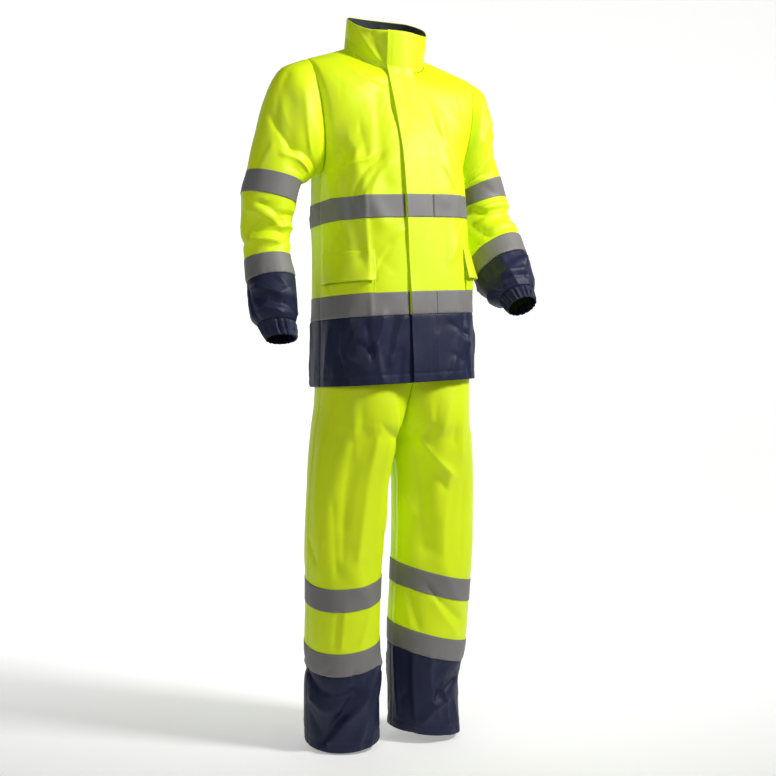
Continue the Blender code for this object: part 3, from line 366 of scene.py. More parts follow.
# Jacket body: u is 0 at the middle and 1 or -1 at the side seam or armhole; v climbs the front
# from the hem to the shoulder seam and goes down the back
ARMPIT_V = ARMPIT - JACKET_HEM
SHOULDER_V = ARMPIT_V + ARMHOLE_GIRTH
NECK_V = ARMPIT_V + (1.0 - NECK_TURN / 180.0) * ARMHOLE_GIRTH


def v_at(height):
    return height - JACKET_HEM


def v_turn(turn):
    return ARMPIT_V + (1.0 - turn / 180.0) * ARMHOLE_GIRTH


def armhole(turn, way=-1.0):
    """A point of the armhole's rim: turn 0 is the shoulder, 180 the armpit; way -1 is the front."""
    angle = math.radians(turn)
    share = (1.0 + math.cos(angle)) / 2.0
    x = ARMHOLE_LOW[0] + (ARMHOLE_TOP[0] - ARMHOLE_LOW[0]) * share
    height = ARMHOLE_LOW[1] + (ARMHOLE_TOP[1] - ARMHOLE_LOW[1]) * share
    return np.array((x, way * ARMHOLE_HALF_DEPTH * math.sin(angle), height))


def neckline(turn, way=-1.0):
    """A point of the neck seam: turn 0 is the middle front or back, 90 the shoulder seam."""
    angle = math.radians(turn)
    end_y, end_height = (NECK_FRONT, FRONT_NECK) if way < 0 else (NECK_BACK, BACK_NECK)
    return np.array((NECK_HALF_WIDTH * math.sin(angle),
                     NECK_MIDDLE + (end_y - NECK_MIDDLE) * math.cos(angle),
                     SIDE_NECK + (end_height - SIDE_NECK) * math.cos(angle)))


def section(v, inner, outer, lead, lead_swell, trail, trail_swell, way):
    """A table row for one line of cloth from the middle to the side."""
    swell = np.array((0.0, way, 0.0))
    first = inner + (outer - inner) * lead + swell * lead_swell
    second = inner + (outer - inner) * trail + swell * trail_swell
    if lead == CORNER and trail == 1.0:
        first[2], second[2] = inner[2], outer[2]
    return (v, *inner, *first, *second, *outer)


def body_rows(way):
    """The jacket's lines of cloth on its front (way -1) or back (way 1), hem to shoulder."""
    rows = []
    for height, half_width, front, back, _ in BODY:
        depth = front if way < 0 else back
        inner = np.array((0.0, way * depth, height))
        outer = np.array((half_width, 0.0, height))
        rows.append(section(v_at(height), inner, outer, CORNER, CORNER * depth, 1.0,
                            CORNER * depth, way))
    for turn in np.arange(180.0 - YOKE_STEP, -1.0, -YOKE_STEP):
        height, front, back, lead, lead_swell, trail, trail_swell = through(YOKE, turn)
        if turn > NECK_TURN:
            inner = np.array((0.0, way * (front if way < 0 else back), height))
            if way > 0:
                inner[2] += (BACK_NECK - FRONT_NECK) * (height - ARMPIT) / (FRONT_NECK - ARMPIT)
        else:
            inner = neckline((NECK_TURN - turn) * 90.0 / NECK_TURN, way)
        rows.append(section(v_turn(turn), inner, armhole(turn, way), lead, lead_swell, trail,
                            trail_swell, way))
    return rows


def jacket_table():
    """All the jacket's rows: up the front, over the shoulder and down the back."""
    back = [(2.0 * SHOULDER_V - row[0], *row[1:]) for row in body_rows(1.0)
            if row[0] < SHOULDER_V]
    return body_rows(-1.0) + back


JACKET_TABLE = jacket_table()
MIDDLES = [(row[0] - JACKET_HEM, row[4]) for row in BODY]


def leaned(points):
    """Lets the shoulders fall toward the wearer's left, but not the collar's top."""
    height = points[..., 2]
    share = eased(height, ARMPIT, LEAN_FULL) * (1.0 - eased(height, SIDE_NECK, LEAN_GONE))
    made = points.copy()
    made[..., 2] += YOKE_LEAN * share * points[..., 0]
    return made


def jacket_bare(u, v):
    """The jacket body without folds."""
    u, v = np.broadcast_arrays(np.asarray(u, float), np.asarray(v, float))
    points = arc(through(JACKET_TABLE, v), np.abs(u)).copy()
    points[..., 0] *= np.sign(u) + (u == 0.0)
    up = np.minimum(v, 2.0 * SHOULDER_V - v)
    lean = BODY_LEAN * (1.0 - eased(up, v_at(CHEST_TAPE + TAPE_WIDTH), ARMPIT_V))
    points[..., 2] += lean * points[..., 0]
    points = leaned(points)
    points[..., 0] += through(MIDDLES, up)[..., 0]
    points[..., 2] -= ORIGIN
    return points


def collar_bare(turn, rise):
    """The collar: turn 0 is the middle front, 180 the back; rise 0 is the neck seam, 1 the top."""
    turn, rise = np.broadcast_arrays(np.asarray(turn, float), np.asarray(rise, float))
    around = np.abs(turn)
    angle = np.radians(around)
    front = around <= 90.0
    end_y = np.where(front, NECK_FRONT, NECK_BACK)
    end_height = np.where(front, FRONT_NECK, BACK_NECK)
    reach = np.abs(np.cos(angle))
    low = np.stack((NECK_HALF_WIDTH * np.sin(angle), NECK_MIDDLE + (end_y - NECK_MIDDLE) * reach,
                    SIDE_NECK + (end_height - SIDE_NECK) * reach), axis=-1)
    second, last_but_one = COLLAR_TOP[1], COLLAR_TOP[-2]
    mirrored = ((-second[0], *second[1:]), (360.0 - last_but_one[0], *last_but_one[1:]))
    top = through((*COLLAR_TOP, *mirrored), around)
    high = np.stack((top[..., 1] * np.sin(angle), top[..., 2], top[..., 0]), axis=-1)
    points = low + (high - low) * rise[..., None]
    points[..., 0] *= np.sign(turn) + (turn == 0.0)
    points = leaned(points)
    points[..., 2] -= ORIGIN
    return points


def arm_points(side, turn, along):
    """A sleeve without folds: turn 0 is its outer side, 90 its front; along runs to the wrist."""
    turn, along = np.broadcast_arrays(np.asarray(turn, float), np.asarray(along, float))
    table = RIGHT_ARM if side < 0 else LEFT_ARM
    cap = (0.0, *ARMHOLE_TOP, *ARMHOLE_LOW, 0.0, ARMHOLE_HALF_DEPTH, 0.0)
    ring = through((cap, *table), along)
    outer_x, outer_height, inner_x, inner_height, y, half_depth, pitch = np.moveaxis(ring, -1, 0)
    angle, pitch = np.radians(turn), np.radians(pitch)
    share = (1.0 + np.cos(angle)) / 2.0
    forward = half_depth * np.sin(angle)
    points = np.stack((inner_x + (outer_x - inner_x) * share, y - forward * np.cos(pitch),
                       inner_height + (outer_height - inner_height) * share
                       + forward * np.sin(pitch)), axis=-1)
    points[..., 0] *= side
    points = leaned(points)
    points[..., 2] -= ORIGIN
    return points


def leg_rows(side, way):
    """The trousers' lines of cloth on one leg's front (way -1) or back (way 1)."""
    rows = []
    for height, inner_x, inner_y, outer_x, lead, lead_reach, trail_reach in (
            HIP + (RIGHT_LEG if side < 0 else LEFT_LEG)):
        inner = np.array((inner_x, way * inner_y, height))
        outer = np.array((outer_x, 0.0, height))
        first = np.array((inner_x + (outer_x - inner_x) * lead, way * lead_reach, height))
        second = np.array((outer_x, way * trail_reach, height))
        rows.append((height, *inner, *first, *second, *outer))
    return rows


def leg_points(side, tables, w, height):
    """A leg without folds: w runs 0 to 1 round the front, inner seam to outer, then 1 to 2 back."""
    w, height = np.broadcast_arrays(np.asarray(w, float), np.asarray(height, float))
    front = arc(through(tables[0], height), w)
    back = arc(through(tables[1], height), 2.0 - w)
    points = np.where((w <= 1.0)[..., None], front, back).copy()
    word = "right" if side < 0 else "left"
    inward, backward = LEG_TILT[word]
    low, full, still, gone = LEG_TILT_HEIGHTS
    share = LEG_TILT_AT_HEM[word] + (1.0 - LEG_TILT_AT_HEM[word]) * eased(height, low, full)
    share = share * (1.0 - eased(height, still, gone))
    points[..., 2] += share * (backward * points[..., 1] + inward * (LEG_MIDDLE - points[..., 0]))
    points[..., 0] *= side
    points[..., 0] += HIP_SHIFT * eased(height, *HIP_SHIFT_HEIGHTS)
    points[..., 2] -= ORIGIN
    return points


# Small creases, placed against the tapes, pockets and seams: bow is how far the middle of
# the line stands off the straight one, a trough has a minus depth, and each is steeper on one side
# columns: across and up of one end, across and up of the other, bow, width, depth
FRONT_CREASES = (
    # the corner between front and side, chest to hem
    (-0.100, 0.405, -0.095, 0.290, 0.000, 0.008, 0.0040),
    (-0.095, 0.290, -0.090, 0.150, 0.000, 0.008, 0.0036),
    # chest, wearer's right
    (-0.065, 0.485, -0.125, 0.410, 0.008, 0.011, -0.0062),
    (-0.095, 0.485, -0.205, 0.410, 0.012, 0.011, 0.0052),
    (-0.070, 0.455, -0.105, 0.415, 0.000, 0.006, -0.0034),
    (-0.045, 0.470, -0.080, 0.420, 0.003, 0.008, 0.0030),
    (-0.220, 0.530, -0.160, 0.470, -0.006, 0.009, -0.0040),
    (-0.190, 0.545, -0.130, 0.495, -0.004, 0.012, 0.0026),
    (-0.150, 0.550, -0.105, 0.500, 0.000, 0.014, -0.0028),
    (-0.240, 0.480, -0.215, 0.420, 0.000, 0.012, 0.0030),
    (-0.080, 0.650, -0.030, 0.540, 0.004, 0.007, -0.0034),
    (-0.105, 0.660, -0.050, 0.560, 0.004, 0.008, 0.0026),
    # chest, wearer's left
    (0.080, 0.540, 0.130, 0.480, 0.000, 0.014, -0.0030),
    (0.130, 0.650, 0.190, 0.590, 0.000, 0.012, 0.0026),
    (0.050, 0.490, 0.105, 0.425, 0.000, 0.012, 0.0024),
    (0.060, 0.470, 0.085, 0.420, 0.003, 0.007, -0.0022),
    # belly
    (-0.025, 0.330, -0.080, 0.250, 0.003, 0.006, 0.0038),
    (-0.045, 0.300, -0.090, 0.205, 0.004, 0.009, -0.0034),
    (-0.190, 0.345, -0.160, 0.315, 0.000, 0.008, -0.0026),
    (-0.175, 0.345, -0.215, 0.300, 0.000, 0.010, 0.0026),
    (-0.250, 0.345, -0.235, 0.225, 0.000, 0.012, 0.0034),
    (-0.210, 0.195, -0.245, 0.240, 0.000, 0.008, -0.0030),
    (0.120, 0.345, 0.070, 0.265, 0.003, 0.010, 0.0030),
    (0.060, 0.340, 0.050, 0.260, 0.000, 0.008, -0.0020),
    # navy hem, wearer's right
    (-0.065, 0.145, -0.080, 0.085, -0.003, 0.008, 0.0046),
    (-0.080, 0.085, -0.065, 0.005, 0.002, 0.010, 0.0050),
    (-0.100, 0.125, -0.090, 0.060, 0.000, 0.009, -0.0038),
    (-0.040, 0.140, -0.050, 0.070, 0.002, 0.007, -0.0040),
    (-0.025, 0.140, -0.050, 0.045, 0.004, 0.007, 0.0034),
    (-0.030, 0.070, -0.035, 0.005, 0.000, 0.007, -0.0034),
    (-0.120, 0.090, -0.095, 0.075, 0.000, 0.009, -0.0040),
    (-0.120, 0.130, -0.150, 0.090, 0.000, 0.008, 0.0030),
    (-0.145, 0.135, -0.180, 0.080, 0.004, 0.010, 0.0034),
    (-0.160, 0.060, -0.130, 0.050, 0.000, 0.010, 0.0026),
    (-0.225, 0.120, -0.245, 0.020, 0.000, 0.012, 0.0034),
    (-0.190, 0.070, -0.165, 0.010, 0.000, 0.011, -0.0028),
    # navy hem, wearer's left
    (0.060, 0.125, 0.105, 0.100, 0.003, 0.008, -0.0036),
    (0.075, 0.110, 0.125, 0.075, 0.003, 0.009, 0.0032),
    (0.070, 0.055, 0.095, 0.045, 0.003, 0.007, -0.0036),
    (0.050, 0.010, 0.070, 0.055, 0.000, 0.008, 0.0034),
    (0.100, 0.060, 0.115, 0.010, 0.000, 0.008, -0.0030),
    (0.030, 0.100, 0.035, 0.010, 0.003, 0.010, 0.0028),
)
BACK_CREASES = (
    (-0.200, 0.620, -0.100, 0.480, 0.010, 0.012, -0.0044),
    (0.190, 0.640, 0.080, 0.500, -0.008, 0.012, -0.0046),
    (-0.120, 0.600, -0.030, 0.440, 0.006, 0.010, 0.0034),
    (0.210, 0.520, 0.130, 0.380, 0.004, 0.011, 0.0040),
    (-0.220, 0.500, -0.150, 0.340, 0.006, 0.010, 0.0036),
    (-0.050, 0.300, -0.090, 0.200, 0.004, 0.009, -0.0034),
    (0.030, 0.280, 0.080, 0.170, 0.000, 0.010, 0.0034),
    (0.170, 0.300, 0.140, 0.200, 0.003, 0.009, -0.0034),
    (-0.190, 0.140, -0.170, 0.010, 0.004, 0.009, 0.0042),
    (-0.120, 0.145, -0.140, 0.020, 0.000, 0.008, -0.0038),
    (-0.050, 0.130, -0.040, 0.000, 0.003, 0.011, 0.0038),
    (0.020, 0.140, 0.040, 0.010, -0.003, 0.009, -0.0036),
    (0.090, 0.145, 0.080, 0.000, 0.002, 0.010, 0.0042),
    (0.150, 0.120, 0.180, 0.010, 0.000, 0.009, -0.0038),
    (-0.020, 0.660, 0.020, 0.570, 0.000, 0.012, -0.0026),
    (0.100, 0.700, 0.160, 0.660, 0.000, 0.010, 0.0026),
    (-0.100, 0.700, -0.170, 0.650, 0.000, 0.010, 0.0028),
)
ARM_CREASES = {
    "right": (
        # upper arm
        (0.040, 0.135, 0.090, 0.155, -0.004, 0.010, -0.0052),
        (0.090, 0.155, 0.150, 0.085, 0.000, 0.010, -0.0048),
        (0.080, 0.185, 0.135, 0.150, 0.003, 0.010, 0.0040),
        (0.065, 0.030, 0.115, 0.085, 0.000, 0.011, 0.0040),
        (0.030, 0.050, 0.045, 0.125, 0.000, 0.012, -0.0032),
        (0.015, 0.090, 0.030, 0.200, 0.000, 0.013, 0.0030),
        (0.055, 0.180, 0.040, 0.230, 0.000, 0.009, 0.0026),
        # elbow
        (0.060, 0.310, 0.115, 0.345, 0.003, 0.007, -0.0060),
        (0.030, 0.325, 0.095, 0.350, 0.004, 0.009, 0.0060),
        (0.045, 0.370, 0.115, 0.375, 0.003, 0.007, -0.0054),
        (0.035, 0.390, 0.100, 0.400, 0.003, 0.008, 0.0050),
        (0.000, 0.385, 0.040, 0.355, 0.000, 0.007, -0.0044),
        (0.115, 0.330, 0.150, 0.320, 0.000, 0.007, -0.0046),
        (0.110, 0.360, 0.155, 0.355, 0.003, 0.009, 0.0046),
        (0.025, 0.300, 0.065, 0.300, 0.000, 0.008, 0.0036),
        (0.085, 0.415, 0.140, 0.395, 0.000, 0.007, -0.0036),
        # navy end
        (0.020, 0.500, 0.090, 0.525, 0.004, 0.009, 0.0050),
        (0.030, 0.525, 0.085, 0.545, 0.000, 0.007, -0.0046),
        (0.035, 0.545, 0.095, 0.565, 0.003, 0.008, 0.0046),
        (0.095, 0.490, 0.135, 0.530, 0.000, 0.010, 0.0040),
        (0.000, 0.500, 0.015, 0.565, 0.000, 0.010, -0.0038),
        (0.100, 0.545, 0.150, 0.560, 0.000, 0.007, -0.0036),
        (0.050, 0.578, 0.110, 0.580, 0.002, 0.006, 0.0030),
        # hidden side
        (0.220, 0.120, 0.300, 0.220, 0.010, 0.012, -0.0044),
        (0.300, 0.080, 0.260, 0.200, 0.000, 0.012, 0.0036),
        (0.200, 0.310, 0.280, 0.330, 0.004, 0.008, 0.0054),
        (0.250, 0.350, 0.340, 0.340, 0.004, 0.008, -0.0052),
        (0.210, 0.380, 0.300, 0.400, 0.003, 0.008, 0.0046),
        (0.290, 0.400, 0.360, 0.390, 0.000, 0.007, -0.0040),
        (0.220, 0.500, 0.300, 0.480, 0.004, 0.008, 0.0042),
        (0.260, 0.540, 0.340, 0.520, 0.000, 0.008, -0.0040),
        (0.180, 0.550, 0.260, 0.560, 0.003, 0.007, 0.0036),
    ),
    "left": (
        # upper arm
        (0.045, 0.065, 0.085, 0.050, 0.004, 0.006, -0.0050),
        (0.050, 0.090, 0.095, 0.070, 0.004, 0.010, 0.0034),
        (0.105, 0.020, 0.090, 0.120, 0.000, 0.010, 0.0032),
        (0.115, 0.150, 0.150, 0.130, 0.000, 0.006, -0.0038),
        (0.105, 0.205, 0.145, 0.195, 0.000, 0.006, -0.0038),
        (0.065, 0.160, 0.110, 0.180, 0.000, 0.009, 0.0030),
        # elbow
        (0.155, 0.295, 0.120, 0.330, 0.000, 0.010, -0.0062),
        (0.150, 0.350, 0.130, 0.390, 0.000, 0.010, -0.0058),
        (0.055, 0.300, 0.125, 0.305, 0.004, 0.009, 0.0062),
        (0.125, 0.325, 0.055, 0.325, 0.004, 0.007, -0.0062),
        (0.050, 0.350, 0.120, 0.350, 0.004, 0.009, 0.0060),
        (0.060, 0.370, 0.105, 0.365, 0.000, 0.006, -0.0044),
        (0.060, 0.385, 0.115, 0.385, 0.003, 0.008, 0.0048),
        (0.160, 0.325, 0.175, 0.380, 0.003, 0.009, 0.0044),
        # navy end
        (0.120, 0.465, 0.110, 0.530, 0.004, 0.010, 0.0048),
        (0.150, 0.465, 0.150, 0.530, 0.000, 0.010, -0.0044),
        (0.140, 0.505, 0.085, 0.510, 0.003, 0.008, 0.0044),
        (0.130, 0.525, 0.075, 0.525, 0.000, 0.007, -0.0040),
        (0.060, 0.475, 0.085, 0.520, 0.000, 0.010, 0.0040),
        (0.090, 0.465, 0.075, 0.500, 0.000, 0.008, -0.0036),
        (0.175, 0.480, 0.165, 0.540, 0.003, 0.009, 0.0038),
        # hidden side
        (0.240, 0.100, 0.310, 0.210, 0.010, 0.012, -0.0042),
        (0.290, 0.070, 0.250, 0.180, 0.000, 0.012, 0.0034),
        (0.220, 0.300, 0.300, 0.320, 0.004, 0.008, 0.0054),
        (0.260, 0.340, 0.350, 0.330, 0.004, 0.008, -0.0052),
        (0.200, 0.370, 0.310, 0.380, 0.003, 0.008, 0.0046),
        (0.230, 0.470, 0.310, 0.460, 0.004, 0.008, 0.0042),
        (0.270, 0.510, 0.350, 0.500, 0.000, 0.008, -0.0040),
        (0.190, 0.520, 0.270, 0.530, 0.003, 0.007, 0.0036),
    ),
}
LEG_CREASES = {
    "right": (
        # thigh
        (0.085, 0.790, 0.075, 0.680, 0.004, 0.012, 0.0058),
        (0.050, 0.780, 0.055, 0.680, 0.000, 0.008, -0.0048),
        (0.115, 0.695, 0.060, 0.665, -0.006, 0.010, -0.0044),
        (0.155, 0.790, 0.165, 0.690, 0.000, 0.010, -0.0044),
        (0.175, 0.790, 0.180, 0.680, 0.000, 0.012, 0.0036),
        (0.215, 0.780, 0.215, 0.640, 0.000, 0.014, -0.0032),
        (0.245, 0.795, 0.270, 0.760, 0.000, 0.010, -0.0046),
        (0.235, 0.750, 0.260, 0.715, 0.000, 0.008, -0.0038),
        (0.130, 0.665, 0.140, 0.430, 0.004, 0.016, 0.0064),
        (0.180, 0.655, 0.175, 0.430, 0.000, 0.024, -0.0066),
        (0.095, 0.640, 0.090, 0.430, 0.000, 0.018, 0.0030),
        (0.250, 0.650, 0.245, 0.500, 0.000, 0.014, 0.0038),
        (0.205, 0.530, 0.190, 0.400, 0.000, 0.012, -0.0040),
        (0.265, 0.450, 0.245, 0.415, 0.000, 0.007, -0.0036),
        (0.230, 0.460, 0.235, 0.390, 0.000, 0.009, 0.0034),
        # between the tapes
        (0.170, 0.310, 0.175, 0.240, 0.000, 0.009, 0.0034),
        (0.185, 0.300, 0.190, 0.245, 0.000, 0.009, -0.0030),
        (0.105, 0.300, 0.125, 0.240, 0.000, 0.010, 0.0028),
        (0.230, 0.300, 0.240, 0.240, 0.000, 0.012, 0.0024),
        # shin
        (0.270, 0.160, 0.145, 0.135, -0.016, 0.010, -0.0076),
        (0.250, 0.110, 0.165, 0.095, -0.010, 0.014, 0.0058),
        (0.145, 0.175, 0.135, 0.130, 0.000, 0.007, -0.0046),
        (0.060, 0.175, 0.160, 0.075, 0.006, 0.013, 0.0090),
        (0.160, 0.075, 0.205, 0.025, 0.000, 0.010, 0.0060),
        (0.150, 0.120, 0.225, 0.025, 0.000, 0.009, -0.0064),
        (0.080, 0.125, 0.115, 0.020, 0.000, 0.014, -0.0050),
        (0.250, 0.070, 0.215, 0.015, 0.000, 0.010, -0.0040),
        # hidden side
        (0.360, 0.760, 0.340, 0.560, 0.006, 0.013, 0.0046),
        (0.420, 0.740, 0.440, 0.500, -0.006, 0.013, -0.0046),
        (0.500, 0.680, 0.460, 0.580, 0.000, 0.011, 0.0044),
        (0.330, 0.540, 0.380, 0.440, 0.004, 0.011, -0.0040),
        (0.480, 0.520, 0.420, 0.440, 0.004, 0.011, 0.0040),
        (0.400, 0.300, 0.420, 0.240, 0.000, 0.010, 0.0034),
        (0.300, 0.160, 0.400, 0.110, -0.008, 0.010, -0.0060),
        (0.400, 0.150, 0.330, 0.030, 0.006, 0.011, 0.0060),
        (0.460, 0.150, 0.440, 0.020, 0.000, 0.010, -0.0046),
        (0.500, 0.120, 0.460, 0.060, 0.000, 0.009, 0.0044),
    ),
    "left": (
        # thigh
        (0.020, 0.780, 0.055, 0.690, 0.000, 0.009, -0.0056),
        (0.045, 0.785, 0.085, 0.700, 0.003, 0.009, 0.0050),
        (0.075, 0.790, 0.090, 0.680, 0.003, 0.010, -0.0064),
        (0.115, 0.790, 0.110, 0.690, 0.000, 0.014, 0.0056),
        (0.140, 0.790, 0.145, 0.660, 0.000, 0.009, -0.0036),
        (0.165, 0.780, 0.165, 0.630, 0.000, 0.012, 0.0032),
        (0.075, 0.660, 0.135, 0.590, 0.004, 0.010, 0.0074),
        (0.080, 0.630, 0.120, 0.560, 0.000, 0.014, -0.0058),
        (0.055, 0.650, 0.075, 0.420, 0.000, 0.030, -0.0072),
        (0.015, 0.670, 0.015, 0.380, 0.000, 0.005, 0.0044),
        (0.130, 0.580, 0.120, 0.420, 0.004, 0.016, 0.0056),
        (0.170, 0.560, 0.165, 0.430, 0.000, 0.012, -0.0034),
        (0.030, 0.520, 0.060, 0.480, 0.000, 0.010, 0.0030),
        # between the tapes
        (0.095, 0.330, 0.175, 0.275, 0.004, 0.009, -0.0056),
        (0.110, 0.300, 0.165, 0.245, 0.003, 0.010, 0.0044),
        (0.050, 0.310, 0.075, 0.240, 0.000, 0.008, -0.0044),
        (0.035, 0.310, 0.055, 0.235, 0.000, 0.009, 0.0034),
        (0.015, 0.320, 0.015, 0.230, 0.000, 0.005, 0.0036),
        # shin
        (0.015, 0.170, 0.025, 0.040, 0.000, 0.008, 0.0062),
        (0.055, 0.165, 0.065, 0.005, 0.000, 0.018, -0.0064),
        (0.110, 0.170, 0.125, 0.070, 0.004, 0.010, 0.0060),
        (0.195, 0.130, 0.125, 0.080, 0.003, 0.007, -0.0064),
        (0.160, 0.080, 0.095, 0.030, 0.003, 0.010, 0.0060),
        (0.155, 0.115, 0.165, 0.030, 0.000, 0.009, 0.0048),
        (0.125, 0.045, 0.150, 0.005, 0.000, 0.008, -0.0044),
        (0.190, 0.070, 0.205, 0.010, 0.000, 0.008, 0.0040),
        # hidden side
        (0.360, 0.750, 0.370, 0.570, 0.006, 0.013, 0.0046),
        (0.440, 0.730, 0.410, 0.520, -0.006, 0.013, -0.0046),
        (0.500, 0.670, 0.470, 0.570, 0.000, 0.011, 0.0042),
        (0.320, 0.520, 0.360, 0.450, 0.004, 0.011, -0.0040),
        (0.470, 0.540, 0.430, 0.450, 0.004, 0.011, 0.0040),
        (0.380, 0.300, 0.360, 0.240, 0.000, 0.010, 0.0034),
        (0.320, 0.150, 0.410, 0.120, -0.008, 0.010, -0.0058),
        (0.420, 0.150, 0.360, 0.040, 0.006, 0.011, 0.0058),
        (0.340, 0.120, 0.330, 0.020, 0.000, 0.010, -0.0044),
        (0.490, 0.140, 0.470, 0.050, 0.000, 0.009, 0.0044),
    ),
}
COLLAR_CREASES = (
    (-0.140, 0.030, -0.045, 0.010, 0.000, 0.006, -0.0050),
    (-0.100, 0.075, -0.050, 0.020, 0.000, 0.008, 0.0050),
    (-0.065, 0.075, -0.045, 0.040, 0.000, 0.006, -0.0040),
    (-0.130, 0.060, -0.110, 0.030, 0.000, 0.007, 0.0030),
    (0.060, 0.070, 0.090, 0.020, 0.000, 0.008, -0.0030),
    (0.170, 0.070, 0.200, 0.020, 0.000, 0.009, 0.0030),
    (0.250, 0.065, 0.240, 0.015, 0.000, 0.010, -0.0030),
    (-0.210, 0.070, -0.190, 0.020, 0.000, 0.009, 0.0030),
)

# Patches of slight crumples, worked out from the numbers given: seed, count, across from and to,
# up from and to, slant in degrees from the upright, shortest and longest, width, depth
FRONT_CRUMPLES = ((3, 26, -0.25, 0.25, 0.00, 0.15, 10, 0.03, 0.09, 0.008, 0.0016),
                  (5, 14, -0.24, 0.24, 0.20, 0.46, 35, 0.03, 0.10, 0.012, 0.0010),
                  (7, 10, -0.22, 0.22, 0.46, 0.70, 40, 0.03, 0.09, 0.012, 0.0010))
BACK_CRUMPLES = ((11, 30, -0.25, 0.25, 0.00, 0.30, 20, 0.03, 0.10, 0.009, 0.0016),
                 (13, 30, -0.24, 0.24, 0.30, 0.72, 35, 0.03, 0.11, 0.010, 0.0016))
ARM_CRUMPLES = {"right": ((17, 20, 0.0, 0.375, 0.28, 0.43, 75, 0.02, 0.07, 0.007, 0.0018),
                          (19, 12, 0.0, 0.375, 0.06, 0.26, 30, 0.03, 0.08, 0.009, 0.0014),
                          (23, 20, 0.0, 0.375, 0.47, 0.60, 70, 0.02, 0.06, 0.007, 0.0018)),
                "left": ((29, 20, 0.0, 0.375, 0.28, 0.42, 75, 0.02, 0.07, 0.007, 0.0018),
                         (31, 12, 0.0, 0.375, 0.06, 0.26, 30, 0.03, 0.08, 0.009, 0.0014),
                         (37, 20, 0.0, 0.375, 0.45, 0.57, 70, 0.02, 0.06, 0.007, 0.0018))}
LEG_CRUMPLES = {"right": ((41, 26, 0.0, 0.54, 0.40, 0.80, 12, 0.04, 0.12, 0.010, 0.0014),
                          (43, 26, 0.0, 0.54, 0.00, 0.17, 35, 0.02, 0.08, 0.008, 0.0020)),
                "left": ((47, 26, 0.0, 0.54, 0.40, 0.80, 12, 0.04, 0.12, 0.010, 0.0014),
                         (53, 26, 0.0, 0.54, 0.00, 0.17, 35, 0.02, 0.08, 0.008, 0.0020))}

COLLAR_GIRTH = 0.54         # cloth round the collar
COLLAR_HEIGHT = 0.085
COLLAR_EDGE = 0.0012        # how far the collar's top edge rolls in
COLLAR_EDGE_FROM = 0.97
COLLAR_STITCHES = (0.93, 0.07)
LINING_LOW = 0.085          # share of the collar's height where its lining starts
LINING_SPAN = 0.90          # and how much of it the lining covers
LINING_IN = 0.0012          # lining's outer side in from the collar's
HEM_TURN = 0.020            # width of a turned hem
SEAM_DIP = 0.0009           # depth of the groove along a seam
SEAM_WIDTH = 0.0028
HEM_DIP = 0.7               # a hem's groove and the collar's, as shares of a seam's
COLLAR_DIP = 0.8
PUCKER = 0.00045            # ripples that sewing draws in beside a seam
PUCKER_PITCH = 0.016
PUCKER_REACH = 0.012
PUCKER_DRIFT = 61.0         # how fast their spacing changes along the seam
CREASE_ROUND = 0.20         # how round a crease's ridge is
CREASE_REACH = 6.0          # widths from its line where a crease ends
CREASE_TIP = 0.65           # its width at both ends, as a share
CREASE_SIDES = (1.45, 0.70) # its width on either side, as shares

# Where folds die down: below and beside the neck, below and beside the armpit, beside the side seam,
# below the shoulder seam, below the sleeve's seam, above the cuff and up the hips
NECK_CALM = 0.05
NECK_CALM_U = 0.25
ARMHOLE_CALM = 0.04
ARMHOLE_CALM_U = 0.75
SIDE_BLEND_U = 0.85         # front and back share their large folds from here to the side seam
SIDE_CALM_U = 0.90
SHOULDER_CALM = 0.03
SHOULDER_LOST = 0.7
SLEEVE_CALM = 0.05
CUFF_CALM = 0.01
CUFF_LOST = 0.8
HIP_CALM = (0.66, 0.78)

ARMHOLE_FOLD = 0.0085       # deep fold where sleeve and body meet, front and back
ARMHOLE_FOLD_BODY = 0.012   # how wide it is on the body and on the sleeve
ARMHOLE_FOLD_SLEEVE = 0.020
ARMHOLE_FOLD_REACH = 4.0
TAPE_STAND = 0.0005
TAPE_THICKNESS = 0.0006
TWO_LAYERS = 0.0012         # thickness of cloth that is folded double
COLLAR_CLOTH = 0.0010
POCKET_CLOTH = 0.0006
WAISTBAND_CLOTH = 0.0016
FLAP_TAPE_GAP = 0.003       # share of the front between flap and tape
NECK_EDGE_U = 0.001         # just beside the middle, where the rows start on the neck seam
SEARCH_U = 0.6              # how far out the storm flap's edges are looked for, and in how many steps
SEARCH_TURN = 60.0
SEARCH_STEPS = 241
FLAP_SEARCH_U = 0.5
FLAP_SEARCH_STEPS = 201

# Storm flap: width, how far up the collar it starts there, and what it rises off the front
FLAP_WIDTH = 0.060
FLAP_COLLAR_RISE = 0.12
FLAP_SHARES = (0.0, 0.02, 0.05, *np.linspace(0.1, 0.9, 13), 0.95, 0.98, 1.0)   # of its width
FLAP_LENGTH_COLUMN = 8      # its length is measured down this column
FLAP_STITCH_COLUMNS = (2, 12)
FLAP_SEWN = 0.0006          # off the front where it is sewn
FLAP_BODY = 0.0012          # and how much more beyond
FLAP_BODY_SHARE = 0.35
FLAP_FREE = 0.0012          # more at its free edge, with soft waves on top
FLAP_WAVE = 0.0030
FLAP_WAVE_PITCH = 0.21
FLAP_WAVE_DRIFT = (1.3, 13.0)
FLAP_TAPE_OUT = 0.0014      # a tape's inner side off the flap's
# columns: grooves under its stitches: from its free edge, width, depth
FLAP_GROOVES = ((0.045, 0.0022, 0.0006), (0.006, 0.0020, 0.0005))

# Cuffs: gathers in two sets of waves, and how much two rows of elastic draw in
CUFF_TURN = 1.25            # degrees between points
CUFF_SMALL_GATHERS = 31.0
CUFF_ELASTIC = (0.35, 0.75)
CUFF_ELASTIC_DRAW = 0.35
CUFF_ELASTIC_REACH = 0.05

